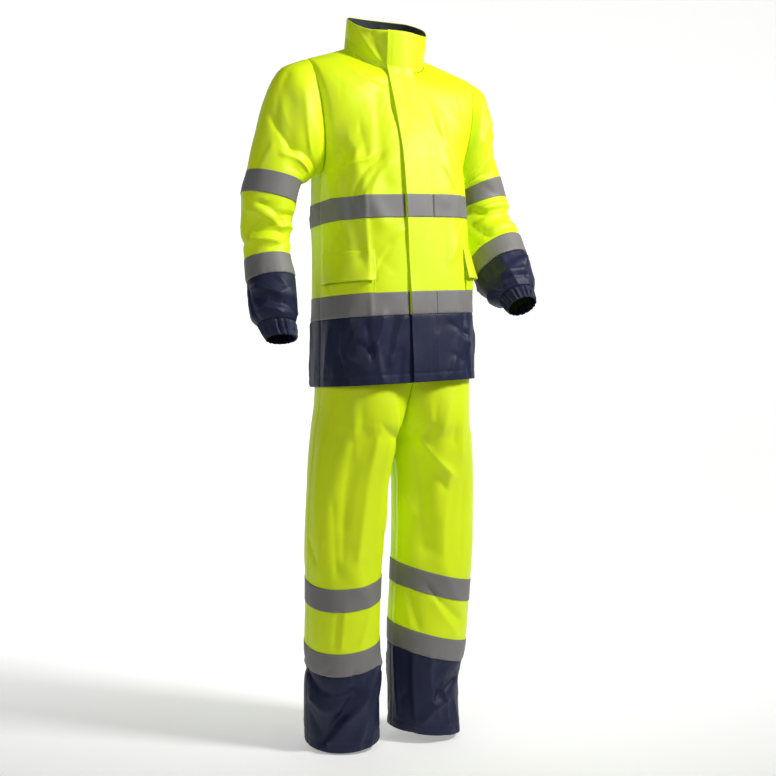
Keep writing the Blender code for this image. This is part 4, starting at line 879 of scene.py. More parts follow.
SPACING_AT_JOIN = 0.004     # waistband's cloth between its last points and its first
WAIST_GATHER = 0.0007       # waistband's gathers: depth, pitch and how their spacing drifts
WAIST_GATHER_PITCH = 0.013
WAIST_GATHER_DRIFT = (1.2, 70.0)

STITCH_IN = 0.0035          # stitches from an edge
SEAM_STITCH = 0.006         # and from a seam
STITCH_PITCH = 0.0034
STITCH_SHARE = 0.72         # of the pitch, with half of the rest before it
STITCH_WIDTH = 0.00055
STITCH_HEIGHT = 0.00035
LAST_U = 0.995              # stitches and tapes' stitches end here, just short of the side seam
SIDE_STITCH_U = 0.972       # topstitching round the armhole

# Distances between points of the cloth where they are closer than elsewhere
EDGE_STEP = 0.0025          # beside an edge or a line
EDGE_SHARE = 0.2            # but no more than this share of a stretch
SLEEVE_STEP = 0.0036
SLEEVE_ROUND_SHARE = 0.9
SLEEVE_END_STEP = 0.0034
CUFF_STEP = 0.0022
COLLAR_STEP = 0.003
LEG_END_STEP = 0.0038
WAISTBAND_STEP = 0.003
COLUMN_GAP = 0.004          # share of the front: columns closer to a piece's end are left out

# Camera: turned from straight ahead (degrees), distance and height from the origin, lens in mm
CAMERA_TURN = -25.0
CAMERA_BACK = 3.0
CAMERA_HEIGHT = -0.7675
CAMERA_LENS = 61.33

# columns: name, metres right of, in front of and above the origin as the camera sees it, size,
# power in watts, spread in degrees
LAMPS = (
    ("key", 2.10, 0.90, 0.90, 0.6, 28.0, 105.0),
    ("fill", -1.1, 2.5, 0.5, 1.4, 5.0, 90.0),
    ("top", 0.5, 0.9, 1.6, 0.9, 2.0, 180.0),
)
AIM_HEIGHT = -0.15          # where the lamps aim, on the suit's middle line
ROOM_LIGHT = 0.10
PAPER_GLOW = 0.78           # the paper is lit from behind as well, so that it stays white
PAPER_DARK = -1.3           # where that begins and where it is full, in metres behind the suit
PAPER_LIT = 1.4
PAPER_COLOUR = "#F6F6F5"
ROOM_COLOUR = "#F4F6FA"
# Paper sweep, in metres: from its front edge flat to the curve, up it, and on to its top
PAPER_FRONT = -4.0
PAPER_FLAT = 2.2
PAPER_CURVE = 1.5
PAPER_CURVE_STEPS = 24
PAPER_TOP = 3.6
PAPER_HALF_WIDTH = 4.0
PAPER_BELOW = 0.004         # below the leg ends
YELLOW_SHADE = "#CFE60A"    # colours to which the cloth drifts over hand-sized areas
NAVY_SHADE = "#151A33"


class SuitSettings(bpy.types.PropertyGroup):
    yellow: StringProperty(name="Yellow", default="#DDF40C",
                           description="Fluorescent yellow shell, as an sRGB hex value")
    navy: StringProperty(name="Navy", description="Navy shell, as an sRGB hex value",
                         default="#1B213F")
    lining: StringProperty(name="Lining", description="Lining of the collar, as an sRGB hex value",
                           default="#171A2C")
    silver: StringProperty(name="Tape", description="Silver-grey tape, as an sRGB hex value",
                           default="#7F7D7C")
    spacing: FloatProperty(name="Grid", description="Distance between points of the cloth",
                           default=0.0042, min=0.002, max=0.02, unit="LENGTH")
    thickness: FloatProperty(name="Cloth", description="Thickness of the coated cloth",
                             default=0.0007, min=0.0002, max=0.003, unit="LENGTH")
    crease: FloatProperty(name="Creases", default=1.15, min=0.0, max=2.0, subtype="FACTOR",
                          description="Depth of the small creases, as a factor of their tables")


def settings():
    return bpy.context.scene.work_suit


# Cloth surfaces

def creases(rows, across, up):
    """How far small creases move a point: lines with a bow, steeper on one side than the other."""
    moved = np.zeros(np.broadcast(across, up).shape)
    for across_a, up_a, across_b, up_b, bow, width, depth in rows:
        run, climb = across_b - across_a, up_b - up_a
        length = math.hypot(run, climb)
        share = ((across - across_a) * run + (up - up_a) * climb) / length ** 2
        inside = np.clip(share, 0.0, 1.0)
        past = (share - inside) * length
        off = ((across - across_a) * climb - (up - up_a) * run) / length
        off = off - 4.0 * bow * inside * (1.0 - inside)
        wide = width * (CREASE_TIP + (1.0 - CREASE_TIP) * np.sin(math.pi * inside))
        far = np.hypot(off / (wide * np.where(off > 0.0, *CREASE_SIDES)), past / width)
        ridge = np.exp(CREASE_ROUND - np.sqrt(far * far + CREASE_ROUND ** 2))
        moved = moved + depth * ridge * (far < CREASE_REACH)
    return moved * settings().crease


def crumples(patches):
    """Rows for creases(), spread over each patch from its seed."""
    rows = []
    for seed, count, a0, a1, up0, up1, slant, short, long, width, depth in patches:
        chance = np.random.RandomState(seed)
        for _ in range(count):
            across, up = chance.uniform(a0, a1), chance.uniform(up0, up1)
            angle = math.radians(slant * chance.uniform(0.5, 1.5) * chance.choice((-1, 1)))
            half = chance.uniform(short, long) / 2.0
            run, climb = half * math.sin(angle), half * math.cos(angle)
            rows.append((across - run, up - climb, across + run, up + climb,
                         chance.uniform(-0.15, 0.15) * half, width * chance.uniform(0.7, 1.5),
                         depth * chance.uniform(0.4, 1.2) * chance.choice((-1, 1))))
    return tuple(rows)


def seam(distance, along):
    """The groove of a seam and the puckers beside it."""
    off = np.abs(distance)
    wave = np.sin(along * 2.0 * math.pi / PUCKER_PITCH + 2.0 * np.sin(along * PUCKER_DRIFT))
    near = np.exp(-(off / PUCKER_REACH) ** 2) * (1.0 - np.exp(-(off / SEAM_WIDTH) ** 2))
    return -SEAM_DIP * np.exp(-(off / SEAM_WIDTH) ** 2) + PUCKER * wave * near


def armhole_fold(points, turn, distance, width):
    """Draws the cloth beside an armhole inward; turn is 0 on the shoulder and 180 under the arm."""
    near = np.abs(distance) < ARMHOLE_FOLD_REACH * width
    depth = np.where(near, np.sin(np.radians(turn)), 0.0)
    depth = ARMHOLE_FOLD * depth * np.exp(-(distance / width) ** 2)
    made = points.copy()
    made[..., 1] += depth
    return made


FRONT_LINES = FRONT_CREASES + crumples(FRONT_CRUMPLES)
BACK_LINES = BACK_CREASES + crumples(BACK_CRUMPLES)


def jacket(u, v):
    """Points and outward normals of the jacket body, with folds, creases and seams."""
    u, v = np.broadcast_arrays(np.asarray(u, float), np.asarray(v, float))
    normals = facing(jacket_bare, u, v)
    back = v > SHOULDER_V
    up = np.where(back, 2.0 * SHOULDER_V - v, v)
    across = u * BODY_QUARTER
    front_large, back_large = folds(FRONT_FOLDS, across, up), folds(BACK_FOLDS, across, up)
    share = 0.5 * eased(np.abs(u), SIDE_BLEND_U, 1.0)
    large = np.where(back, back_large + (front_large - back_large) * share,
                     front_large + (back_large - front_large) * share)
    fine = np.where(back, creases(BACK_LINES, across, up), creases(FRONT_LINES, across, up))
    fine = fine * (1.0 - eased(np.abs(u), SIDE_CALM_U, 1.0))
    fine = fine * (1.0 - SHOULDER_LOST * eased(up, SHOULDER_V - SHOULDER_CALM, SHOULDER_V))
    near_neck = eased(up, NECK_V - NECK_CALM, NECK_V) * (1.0 - eased(np.abs(u), 0.0, NECK_CALM_U))
    near_armhole = eased(up, ARMPIT_V - ARMHOLE_CALM, ARMPIT_V) * eased(np.abs(u), ARMHOLE_CALM_U, 1.0)
    moved = (large + fine) * (1.0 - near_neck) * (1.0 - near_armhole)
    moved = moved + seam((1.0 - np.abs(u)) * BODY_QUARTER, up)
    moved = moved + seam(up - v_at(NAVY_SEAM), across) + seam(up - SHOULDER_V, across)
    moved = moved + seam(up - HEM_TURN, across) * HEM_DIP
    points = jacket_bare(u, v) + normals * moved[..., None]
    turn = np.clip((SHOULDER_V - v) / ARMHOLE_GIRTH, -1.0, 1.0) * 180.0
    points = armhole_fold(points, turn, (1.0 - np.abs(u)) * BODY_QUARTER, ARMHOLE_FOLD_BODY)
    return points, normals


def collar(turn, rise):
    """Points and outward normals of the collar."""
    turn, rise = np.broadcast_arrays(np.asarray(turn, float), np.asarray(rise, float))
    normals = facing(collar_bare, turn, rise)
    across = turn / 360.0 * COLLAR_GIRTH
    moved = creases(COLLAR_CREASES, across, rise * COLLAR_HEIGHT)
    moved = moved + seam(rise * COLLAR_HEIGHT, across) * COLLAR_DIP
    moved = moved - COLLAR_EDGE * eased(rise, COLLAR_EDGE_FROM, 1.0) ** 2
    return collar_bare(turn, rise) + normals * moved[..., None], normals


def sleeve(side):
    """A function for one sleeve's points and normals."""
    word = "right" if side < 0 else "left"
    rows = RIGHT_ARM_FOLDS if side < 0 else LEFT_ARM_FOLDS
    lines = ARM_CREASES[word] + crumples(ARM_CRUMPLES[word])
    lower = ARM_LOWER_TAPE[word][1]
    cuff = (RIGHT_ARM if side < 0 else LEFT_ARM)[-1][0] - CUFF_LENGTH

    def bare(turn, along):
        return arm_points(side, turn, along)

    def place(turn, along):
        turn, along = np.broadcast_arrays(np.asarray(turn, float), np.asarray(along, float))
        across = np.mod(turn, 360.0) / 360.0 * SLEEVE_ROUND
        normals = unit(np.cross(bare(turn + TURN_STEP, along) - bare(turn - TURN_STEP, along),
                                bare(turn, along + SURFACE_STEP)
                                - bare(turn, along - SURFACE_STEP))) * side
        moved = sum(folds(rows, across + turns, along) + creases(lines, across + turns, along)
                    for turns in (-SLEEVE_ROUND, 0.0, SLEEVE_ROUND))
        moved = moved * eased(along, 0.0, SLEEVE_CALM)
        moved = moved * (1.0 - CUFF_LOST * eased(along, cuff - CUFF_CALM, cuff))
        for line in (0.0, lower, cuff):
            moved = moved + seam(along - line, across)
        points = bare(turn, along) + normals * moved[..., None]
        return armhole_fold(points, turn, along, ARMHOLE_FOLD_SLEEVE), normals

    return place


def leg(side):
    """A function for one leg's points and normals."""
    word = "right" if side < 0 else "left"
    tables = (leg_rows(side, -1.0), leg_rows(side, 1.0))
    rows = RIGHT_LEG_FOLDS if side < 0 else LEFT_LEG_FOLDS
    lines = LEG_CREASES[word] + crumples(LEG_CRUMPLES[word])
    low = LEG_TAPES[word][0][0]
    around = 2.0 * LEG_HALF

    def bare(w, height):
        return leg_points(side, tables, w, height)

    def place(w, height):
        w, height = np.broadcast_arrays(np.asarray(w, float), np.asarray(height, float))
        inside = np.clip(w, 2.0 * SURFACE_STEP, 2.0 - 2.0 * SURFACE_STEP)
        normals = facing(bare, inside, height, side)
        across = w * LEG_HALF
        moved = sum(folds(rows, across + turns, height) + creases(lines, across + turns, height)
                    for turns in (-around, 0.0, around))
        moved = moved * (1.0 - eased(height, *HIP_CALM))
        for line in (0.0, 1.0, 2.0):
            moved = moved + seam((w - line) * LEG_HALF, height)
        moved = moved + seam(height - low, across) + seam(height - HEM_TURN, across) * HEM_DIP
        return bare(w, height) + normals * moved[..., None], normals

    return place


# Making pieces

def steps(low, high, real=1.0, spacing=None, lines=()):
    """Places from low to high, closer beside the ends and the lines; real is metres a unit."""
    spacing = spacing or settings().spacing
    ends = sorted({low, high, *(line for line in lines if low < line < high)})
    made = []
    for a, b in zip(ends[:-1], ends[1:]):
        close = min(EDGE_STEP / real, (b - a) * EDGE_SHARE)
        count = max(1, round((b - a - 2.0 * close) * real / spacing))
        made += [a, *np.linspace(a + close, b - close, count + 1)]
    return np.array(made + [high])


def within(rows, low, high):
    """Which rows lie from low to high, both counted."""
    return [k for k, row in enumerate(rows) if low - TINY <= row <= high + TINY]


def grid_of(place, across, up, real_across, real_up):
    """Points and normals of a surface over two lists, with the cloth's own flat places."""
    a, b = np.meshgrid(across, up)
    points, normals = place(a, b)
    return points, normals, a * real_across, b * real_up


def cloth_object(name, grids, finish, out=0.0, thickness=None, outward=False, round_length=None):
    """A shell of cloth from grids of points, as one object with its flat layout as UV metres."""
    points, quads, places = [], [], []
    first = 0
    for grid, normals, across, up in grids:
        rows, columns = across.shape
        index = first + np.arange(rows * columns).reshape(rows, columns)
        if round_length is not None:
            index = np.concatenate((index, index[:, :1]), axis=1)
            across = np.concatenate((across, across[:, :1] + round_length), axis=1)
            up = np.concatenate((up, up[:, :1]), axis=1)
        flat = np.stack((across, up), axis=-1)
        corners = [(slice(None, -1), slice(None, -1)), (slice(None, -1), slice(1, None)),
                   (slice(1, None), slice(1, None)), (slice(1, None), slice(None, -1))]
        faces = np.stack([index[c] for c in corners], axis=-1).reshape(-1, 4)
        layout = np.stack([flat[c] for c in corners], axis=-2).reshape(-1, 4, 2)
        along = np.diff(grid, axis=1)[:-1]
        climb = np.diff(grid, axis=0)[:, :-1]
        if np.sum(np.cross(along, climb) * normals[:-1, :-1]) < 0.0:
            faces, layout = faces[:, ::-1], layout[:, ::-1]
        points.append((grid + normals * out).reshape(-1, 3))
        quads.append(faces)
        places.append(layout)
        first += rows * columns
    mesh = bpy.data.meshes.new(name)
    mesh.from_pydata(np.concatenate(points).tolist(), [], np.concatenate(quads).tolist())
    layer = mesh.uv_layers.new(name="cut")
    layer.data.foreach_set("uv", np.concatenate(places).reshape(-1))
    if len(grids) > 1:
        joined = bmesh.new()
        joined.from_mesh(mesh)
        bmesh.ops.remove_doubles(joined, verts=joined.verts, dist=1e-5)
        joined.to_mesh(mesh)
        joined.free()
    mesh.polygons.foreach_set("use_smooth", [True] * len(mesh.polygons))
    mesh.materials.append(finish)
    piece = bpy.data.objects.new(name, mesh)
    bpy.context.scene.collection.objects.link(piece)
    solid = piece.modifiers.new("cloth thickness", "SOLIDIFY")
    solid.thickness = thickness or settings().thickness
    solid.offset = 1.0 if outward else -1.0
    return piece


def settle(piece, node):
    """Hangs a made piece under the root and hides its node's part, whose place it takes."""
    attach(piece, "root")
    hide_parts(node)


class Thread:
    """Stitches gathered for one object: each is a small boat of thread lying on the cloth."""

    def __init__(self):
        self.points, self.faces = [], []

    def sew(self, place, a, b, out=0.0):
        """Sews along a line of a surface, given by its two parameters."""
        a, b = np.broadcast_arrays(np.asarray(a, float), np.asarray(b, float))
        points, normals = place(a, b)
        self.along(points + normals * out, normals)

    def row(self, grid, place, out):
        """Sews along one row or column of a grid of cloth."""
        points, normals = grid[0][place], grid[1][place]
        self.along(points + normals * out, normals)

    def along(self, points, normals):
        """Sews along a row of points."""
        lengths = np.concatenate(((0.0,), np.cumsum(np.linalg.norm(np.diff(points, axis=0),
                                                                   axis=1))))
        count = int(lengths[-1] / STITCH_PITCH)
        if count < 1:
            return
        starts = (np.arange(count) + (1.0 - STITCH_SHARE) / 2.0) * lengths[-1] / count
        ends = starts + STITCH_SHARE * lengths[-1] / count

        def at(where, values):
            return np.stack([np.interp(where, lengths, values[:, k]) for k in range(3)], axis=1)

        a, b = at(starts, points), at(ends, points)
        middle = (a + b) / 2.0
        up = unit(at((starts + ends) / 2.0, normals))
        side = unit(np.cross(b - a, up)) * STITCH_WIDTH / 2.0
        top = middle + up * STITCH_HEIGHT
        rows = np.stack((a, b, middle + side, middle - side, top), axis=1)
        shape = ((0, 2, 4), (0, 4, 3), (1, 4, 2), (1, 3, 4), (0, 3, 2), (1, 2, 3))
        for row in rows:
            first = len(self.points)
            self.points += row.tolist()
            self.faces += [tuple(first + k for k in face) for face in shape]

    def finish(self, name, finish, slot):
        """Makes the object of all these stitches."""
        mesh = bpy.data.meshes.new(name)
        mesh.from_pydata(self.points, [], self.faces)
        mesh.materials.append(finish)
        piece = bpy.data.objects.new(name, mesh)
        bpy.context.scene.collection.objects.link(piece)
        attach(piece, "root")


THREADS = {}
THREAD_SLOTS = {"yellow": "yellow_shell", "navy": "navy_shell", "grey": "reflective_tape"}
ALL = slice(None)


def thread(colour):
    """The stitches of one colour."""
    return THREADS.setdefault(colour, Thread())


# Finishes

def linear(colour):
    """Linear values of an sRGB hex colour."""
    parts = [int(colour[i:i + 2], 16) / 255.0 for i in (1, 3, 5)]
    return [c / 12.92 if c <= 0.04045 else ((c + 0.055) / 1.055) ** 2.4 for c in parts] + [1.0]


def add(tree, kind, values=(), links=(), **details):
    """Adds a node with its settings, its input values and its links (input, node, output)."""
    made = tree.nodes.new(kind)
    for name, value in details.items():
        setattr(made, name, value)
    for socket, value in values:
        made.inputs[socket].default_value = value
    for socket, source, output in links:
        tree.links.new(source.outputs[output], made.inputs[socket])
    return made


def blank(name, roughness, **values):
    """A new material with its shader set; its node tree and its shader are given back too."""
    made = bpy.data.materials.new(name)
    made.use_nodes = True
    shader = made.node_tree.nodes["Principled BSDF"]
    shader.inputs["Roughness"].default_value = roughness
    for socket, value in values.items():
        shader.inputs[socket.replace("_", " ")].default_value = value
    return made, made.node_tree, shader


def per_mm(size):
    """Pattern scale for a real size in millimetres, on coordinates in metres."""
    return 1000.0 / size


def coated_cloth(name, colour, shade, roughness, gloss, glow, crush):
    """Coated polyester: a tight plain weave under a thin polyurethane film.

    The film gives broad satin highlights on the creases, the weave a slight dullness, and packing
    leaves faint crushed facets, as deep as crush says.
    """
    made, tree, shader = blank(name, roughness, IOR=1.50, Specular_IOR_Level=gloss)
    where = add(tree, "ShaderNodeTexCoord")
    cut = add(tree, "ShaderNodeUVMap", uv_map="cut")
    # Colour drifts a little over hand-sized areas
    drift = add(tree, "ShaderNodeTexNoise", [("Scale", per_mm(140.0)), ("Detail", 3.0)],
                [("Vector", where, "Object")])
    tint = add(tree, "ShaderNodeMix", [("A", linear(colour)), ("B", linear(shade))],
               data_type="RGBA")
    amount = add(tree, "ShaderNodeMapRange", [("From Min", 0.35), ("From Max", 0.75),
                                              ("To Max", 0.55)], [("Value", drift, "Fac")])
    tree.links.new(amount.outputs["Result"], tint.inputs["Factor"])
    tree.links.new(tint.outputs["Result"], shader.inputs["Base Color"])
    # Threads of 0.35 mm are drawn 0.9 mm apart, so that they show
    weave = add(tree, "ShaderNodeTexChecker", [("Scale", per_mm(0.9))], [("Vector", cut, "UV")])
    # Crushed facets 30 mm and 9 mm across
    facets = add(tree, "ShaderNodeTexNoise", [("Scale", per_mm(30.0)), ("Detail", 3.0),
                                              ("Roughness", 0.45)],
                 [("Vector", where, "Object")], noise_type="RIDGED_MULTIFRACTAL")
    small = add(tree, "ShaderNodeTexNoise", [("Scale", per_mm(9.0)), ("Detail", 2.0)],
                [("Vector", where, "Object")])
    rub = add(tree, "ShaderNodeMapRange",
              [("To Min", roughness - 0.06), ("To Max", roughness + 0.08)], [("Value", small, "Fac")])
    tree.links.new(rub.outputs["Result"], shader.inputs["Roughness"])
    bump = add(tree, "ShaderNodeBump", [("Strength", 0.55 * crush), ("Distance", 0.0014)],
               [("Height", facets, "Fac")])
    bump = add(tree, "ShaderNodeBump", [("Strength", 0.45 * crush), ("Distance", 0.0008)],
               [("Height", small, "Fac"), ("Normal", bump, "Normal")])
    bump = add(tree, "ShaderNodeBump", [("Strength", 0.20), ("Distance", 0.0001)],
               [("Height", weave, "Fac"), ("Normal", bump, "Normal")])
    tree.links.new(bump.outputs["Normal"], shader.inputs["Normal"])
    if glow:
        # Painted glow: a fixed emission in the cloth's own colour that shines the same in light and in
        # shade;
        # it stands in for fluorescent dye giving back unseen light as yellow-green
        tree.links.new(tint.outputs["Result"], shader.inputs["Emission Color"])
        shader.inputs["Emission Strength"].default_value = glow
    return made


def glass_bead_tape(name, colour):
    """Reflective tape: glass beads of 0.06 mm bonded to cloth. By plain light it is an even grey
    with a faint grain and a soft metallic lift toward the light."""
    made, tree, shader = blank(name, 0.60, Metallic=0.05)
    cut = add(tree, "ShaderNodeUVMap", uv_map="cut")
    # Beads are drawn 0.7 mm apart, so that their grain shows
    beads = add(tree, "ShaderNodeTexVoronoi", [("Scale", per_mm(0.7))], [("Vector", cut, "UV")])
    smudge = add(tree, "ShaderNodeTexNoise", [("Scale", per_mm(45.0)), ("Detail", 4.0)],
                 [("Vector", cut, "UV")])
    dark = [c * 0.84 for c in linear(colour)[:3]] + [1.0]
    tint = add(tree, "ShaderNodeMix", [("A", dark), ("B", linear(colour))],
               [("Factor", smudge, "Fac")], data_type="RGBA")
    tree.links.new(tint.outputs["Result"], shader.inputs["Base Color"])
    bump = add(tree, "ShaderNodeBump", [("Strength", 0.30), ("Distance", 0.0001)],
               [("Height", beads, "Distance")])
    bump = add(tree, "ShaderNodeBump", [("Strength", 0.35), ("Distance", 0.0010)],
               [("Height", smudge, "Fac"), ("Normal", bump, "Normal")])
    tree.links.new(bump.outputs["Normal"], shader.inputs["Normal"])
    return made


def knitted_lining(name, colour):
    """Brushed polyester knit: matt, with a fine rib 1.4 mm apart that catches light at a slant."""
    made, tree, shader = blank(name, 0.80, IOR=1.46, Sheen_Weight=0.35, Sheen_Roughness=0.5)
    cut = add(tree, "ShaderNodeUVMap", uv_map="cut")
    shader.inputs["Base Color"].default_value = linear(colour)
    # One wave takes up a full turn of the pattern's scale
    rib = add(tree, "ShaderNodeTexWave",
              [("Scale", per_mm(1.4) / (2.0 * math.pi)), ("Distortion", 0.6)],
              [("Vector", cut, "UV")])
    bump = add(tree, "ShaderNodeBump", [("Strength", 0.5), ("Distance", 0.0003)],
               [("Height", rib, "Fac")])
    tree.links.new(bump.outputs["Normal"], shader.inputs["Normal"])
    return made


def sewing_thread(name, colour):
    """Spun polyester thread: a little lighter and duller than the cloth it sews."""
    made, tree, shader = blank(name, 0.65, Sheen_Weight=0.2)
    where = add(tree, "ShaderNodeTexCoord")
    twist = add(tree, "ShaderNodeTexNoise", [("Scale", per_mm(0.4))], [("Vector", where, "Object")])
    light = linear(colour)
    dark = [c * 0.7 for c in light[:3]] + [1.0]
    tint = add(tree, "ShaderNodeMix", [("A", dark), ("B", light)], [("Factor", twist, "Fac")],
               data_type="RGBA")
    tree.links.new(tint.outputs["Result"], shader.inputs["Base Color"])
    return made


def finish(name):
    """The named finish, made when it is first asked for."""
    found = bpy.data.materials.get(name)
    if found:
        return found
    sizes = settings()
    return {
        # glow is a painted glow, a fixed emission: faint on the yellow, none on the navy
        "coated_polyester_yellow": lambda: coated_cloth(name, sizes.yellow, YELLOW_SHADE, roughness=0.50,
                                                        gloss=0.35, glow=0.04, crush=0.40),
        "coated_polyester_navy": lambda: coated_cloth(name, sizes.navy, NAVY_SHADE, roughness=0.52,
                                                      gloss=0.30, glow=0.0, crush=0.35),
        "brushed_knit_navy": lambda: knitted_lining(name, sizes.lining),
        "glass_bead_tape": lambda: glass_bead_tape(name, sizes.silver),
        "thread_yellow": lambda: sewing_thread(name, "#D9EE3C"),
        "thread_navy": lambda: sewing_thread(name, "#2E3350"),
        "thread_grey": lambda: sewing_thread(name, "#A3A2A0"),
    }[name]()


YELLOW, NAVY = "coated_polyester_yellow", "coated_polyester_navy"
LINING, TAPE = "brushed_knit_navy", "glass_bead_tape"


# Pieces

def body_columns(low=0.0, high=1.0):
    """Places across a front or back, middle to side, the same for all that lies on it."""
    inside = [u for u in steps(0.0, 1.0, BODY_QUARTER) if low + COLUMN_GAP < u < high - COLUMN_GAP]
    return np.array([low, *inside, high])


BODY_LINES = (v_at(NAVY_SEAM), v_at(NAVY_SEAM + TAPE_WIDTH), v_at(POCKET_FLAP_LOW),
              v_at(POCKET_FLAP_TOP), v_at(CHEST_TAPE), v_at(CHEST_TAPE + TAPE_WIDTH), ARMPIT_V,
              NECK_V, HEM_TURN)


def body_rows_between(low, high):
    """Places up a front or back, with every line that its pieces share."""
    return steps(low, high, lines=BODY_LINES)


def body_grid(side, low, high, back=False, first=0.0, last=1.0):
    """One half of the front or back between two heights of the table."""
    columns = side * body_columns(first, last)
    rows = body_rows_between(low, high)
    if back:
        rows = 2.0 * SHOULDER_V - rows
    u, v = np.meshgrid(columns, rows)
    if first == 0.0:
        up = np.minimum(v[:, 0], 2.0 * SHOULDER_V - v[:, 0])
        u[:, 0] = np.where(up > NECK_V + TINY, side * NECK_EDGE_U, 0.0)
    points, normals = jacket(u, v)
    return points, normals, u * BODY_QUARTER, v


def make(node, grids, colour, **details):
    """Makes one piece of cloth and settles it in its node's place."""
    piece = cloth_object(f"{node}_cloth", grids, finish(colour), **details)
    settle(piece, node)


class SUIT_OT_jacket(bpy.types.Operator):
    """Fronts and back of the jacket, yellow above and navy at the hem"""
    bl_idname = "suit.jacket"
    bl_label = "Jacket body"

    def execute(self, context):
        seam_v = v_at(NAVY_SEAM)
        for word, side in SIDES:
            make(f"jacket_front_{word}", [body_grid(side, seam_v, SHOULDER_V)], YELLOW)
            make(f"jacket_hem_front_{word}", [body_grid(side, 0.0, seam_v)], NAVY)
        sides = (-1.0, 1.0)
        make("jacket_back", [body_grid(side, seam_v, SHOULDER_V, True) for side in sides], YELLOW)
        make("jacket_hem_back", [body_grid(side, 0.0, seam_v, True) for side in sides], NAVY)
        return {"FINISHED"}


def flap_start(rows, which):
    """Where the storm flap's free (0) or sewn (1) edge lies on the front, as a share of its width."""
    shares = []
    for v in rows:
        u = np.linspace(-SEARCH_U, SEARCH_U, SEARCH_STEPS)
        points = jacket_bare(u, np.full_like(u, v))
        shares.append(abs(np.interp(through(FLAP, JACKET_HEM + v)[which], points[:, 0], u)))
    return max(shares) + FLAP_TAPE_GAP


class SUIT_OT_body_tapes(bpy.types.Operator):
    """Reflective tapes round the jacket body"""
    bl_idname = "suit.body_tapes"
    bl_label = "Body tapes"

    def execute(self, context):
        taped = {"outward": True, "thickness": TAPE_THICKNESS, "out": TAPE_STAND}
        for band, low in (("chest_tape", CHEST_TAPE), ("lower_tape", NAVY_SEAM)):
            low, high = v_at(low), v_at(low + TAPE_WIDTH)
            for word, side, which in (("right", -1.0, 0), ("left", 1.0, 1)):
                start = flap_start((low, high), which)
                make(f"{band}_{word}", [body_grid(side, low, high, first=start)], TAPE, **taped)
            grids = [body_grid(side, low, high, True) for side in (-1.0, 1.0)]
            make(f"{band}_back", grids, TAPE, **taped)
            over = TAPE_STAND + TAPE_THICKNESS
            for line in (low + STITCH_IN, high - STITCH_IN):
                u = np.linspace(-LAST_U, LAST_U, 400)
                thread("grey").sew(jacket, u, 2.0 * SHOULDER_V - line, over)
                for side, which in ((-1.0, 0), (1.0, 1)):
                    start = flap_start((line,), which)
                    thread("grey").sew(jacket, side * np.linspace(start, LAST_U, 200), line, over)
        return {"FINISHED"}


def flap_ground(rows, rises=()):
    """The front under the storm flap: points, normals and flat places, from free to sewn edge."""
    share = np.array(FLAP_SHARES)
    grid = []
    for v in rows:
        height = JACKET_HEM + min(v, ARMPIT_V)
        if v > ARMPIT_V:
            height = ARMPIT + (v - ARMPIT_V) * (FRONT_NECK - ARMPIT) / (NECK_V - ARMPIT_V)
        free, sewn = through(FLAP, height)
        u = np.linspace(-FLAP_SEARCH_U, FLAP_SEARCH_U, FLAP_SEARCH_STEPS)
        where = np.interp(free + (sewn - free) * share, jacket_bare(u, np.full_like(u, v))[:, 0], u)
        grid.append(jacket(where, np.full_like(where, v)))
    for rise in rises:
        free, sewn = through(FLAP, FRONT_NECK + rise * (COLLAR_TOP[0][1] - FRONT_NECK))
        turn = np.linspace(-SEARCH_TURN, SEARCH_TURN, SEARCH_STEPS)
        where = np.interp(free + (sewn - free) * share,
                          collar_bare(turn, np.full_like(turn, rise))[:, 0], turn)
        grid.append(collar(where, np.full_like(where, rise)))
    points, normals = (np.array([row[k] for row in grid]) for k in (0, 1))
    length = np.concatenate(((0.0,), np.cumsum(np.linalg.norm(
        np.diff(points[:, FLAP_LENGTH_COLUMN], axis=0), axis=-1))))
    across = share * FLAP_WIDTH
    return points, normals, *np.meshgrid(across, length)


def flap_raised(ground):
    """The storm flap over its ground: flat where sewn, lifting in soft waves at its free edge."""
    points, normals, across, length = ground
    free = 1.0 - across / FLAP_WIDTH
    drift, pace = FLAP_WAVE_DRIFT
    angle = length * 2.0 * math.pi / FLAP_WAVE_PITCH + drift * np.sin(length * pace)
    wave = 0.5 + 0.5 * np.sin(angle)
    stand = FLAP_SEWN + FLAP_BODY * eased(free, 0.0, FLAP_BODY_SHARE)
    stand = stand + free ** 3 * (FLAP_FREE + FLAP_WAVE * wave)
    for middle, width, depth in FLAP_GROOVES:
        stand = stand - depth * np.exp(-((across - middle) / width) ** 2)
    return points + normals * stand[..., None], normals, across, length


class SUIT_OT_storm_flap(bpy.types.Operator):
    """Storm flap over the front closing, with its own stretch of each tape"""
    bl_idname = "suit.storm_flap"
    bl_label = "Storm flap"

    def execute(self, context):
        seam_v = v_at(NAVY_SEAM)
        flapped = {"outward": True, "thickness": TWO_LAYERS}
        rows = body_rows_between(seam_v, NECK_V)
        upper = flap_raised(flap_ground(rows, steps(FLAP_COLLAR_RISE, 1.0, COLLAR_HEIGHT)))
        make("storm_flap", [upper], YELLOW, **flapped)
        lower = flap_raised(flap_ground(body_rows_between(0.0, seam_v)))
        make("storm_flap_hem", [lower], NAVY, **flapped)
        for band, low in (("lower", NAVY_SEAM), ("chest", CHEST_TAPE)):
            keep = within(rows, v_at(low), v_at(low + TAPE_WIDTH))
            part = tuple(values[keep] for values in upper)
            make(f"storm_flap_{band}_tape", [part], TAPE, outward=True, thickness=TAPE_THICKNESS,
                 out=FLAP_TAPE_OUT)
            for row in (1, len(keep) - 2):
                thread("grey").row(part, (row, ALL), FLAP_TAPE_OUT + TAPE_THICKNESS)
        for colour, grid in (("yellow", upper), ("navy", lower)):
            for column in FLAP_STITCH_COLUMNS:
                thread(colour).row(grid, (ALL, column), TWO_LAYERS)
        return {"FINISHED"}


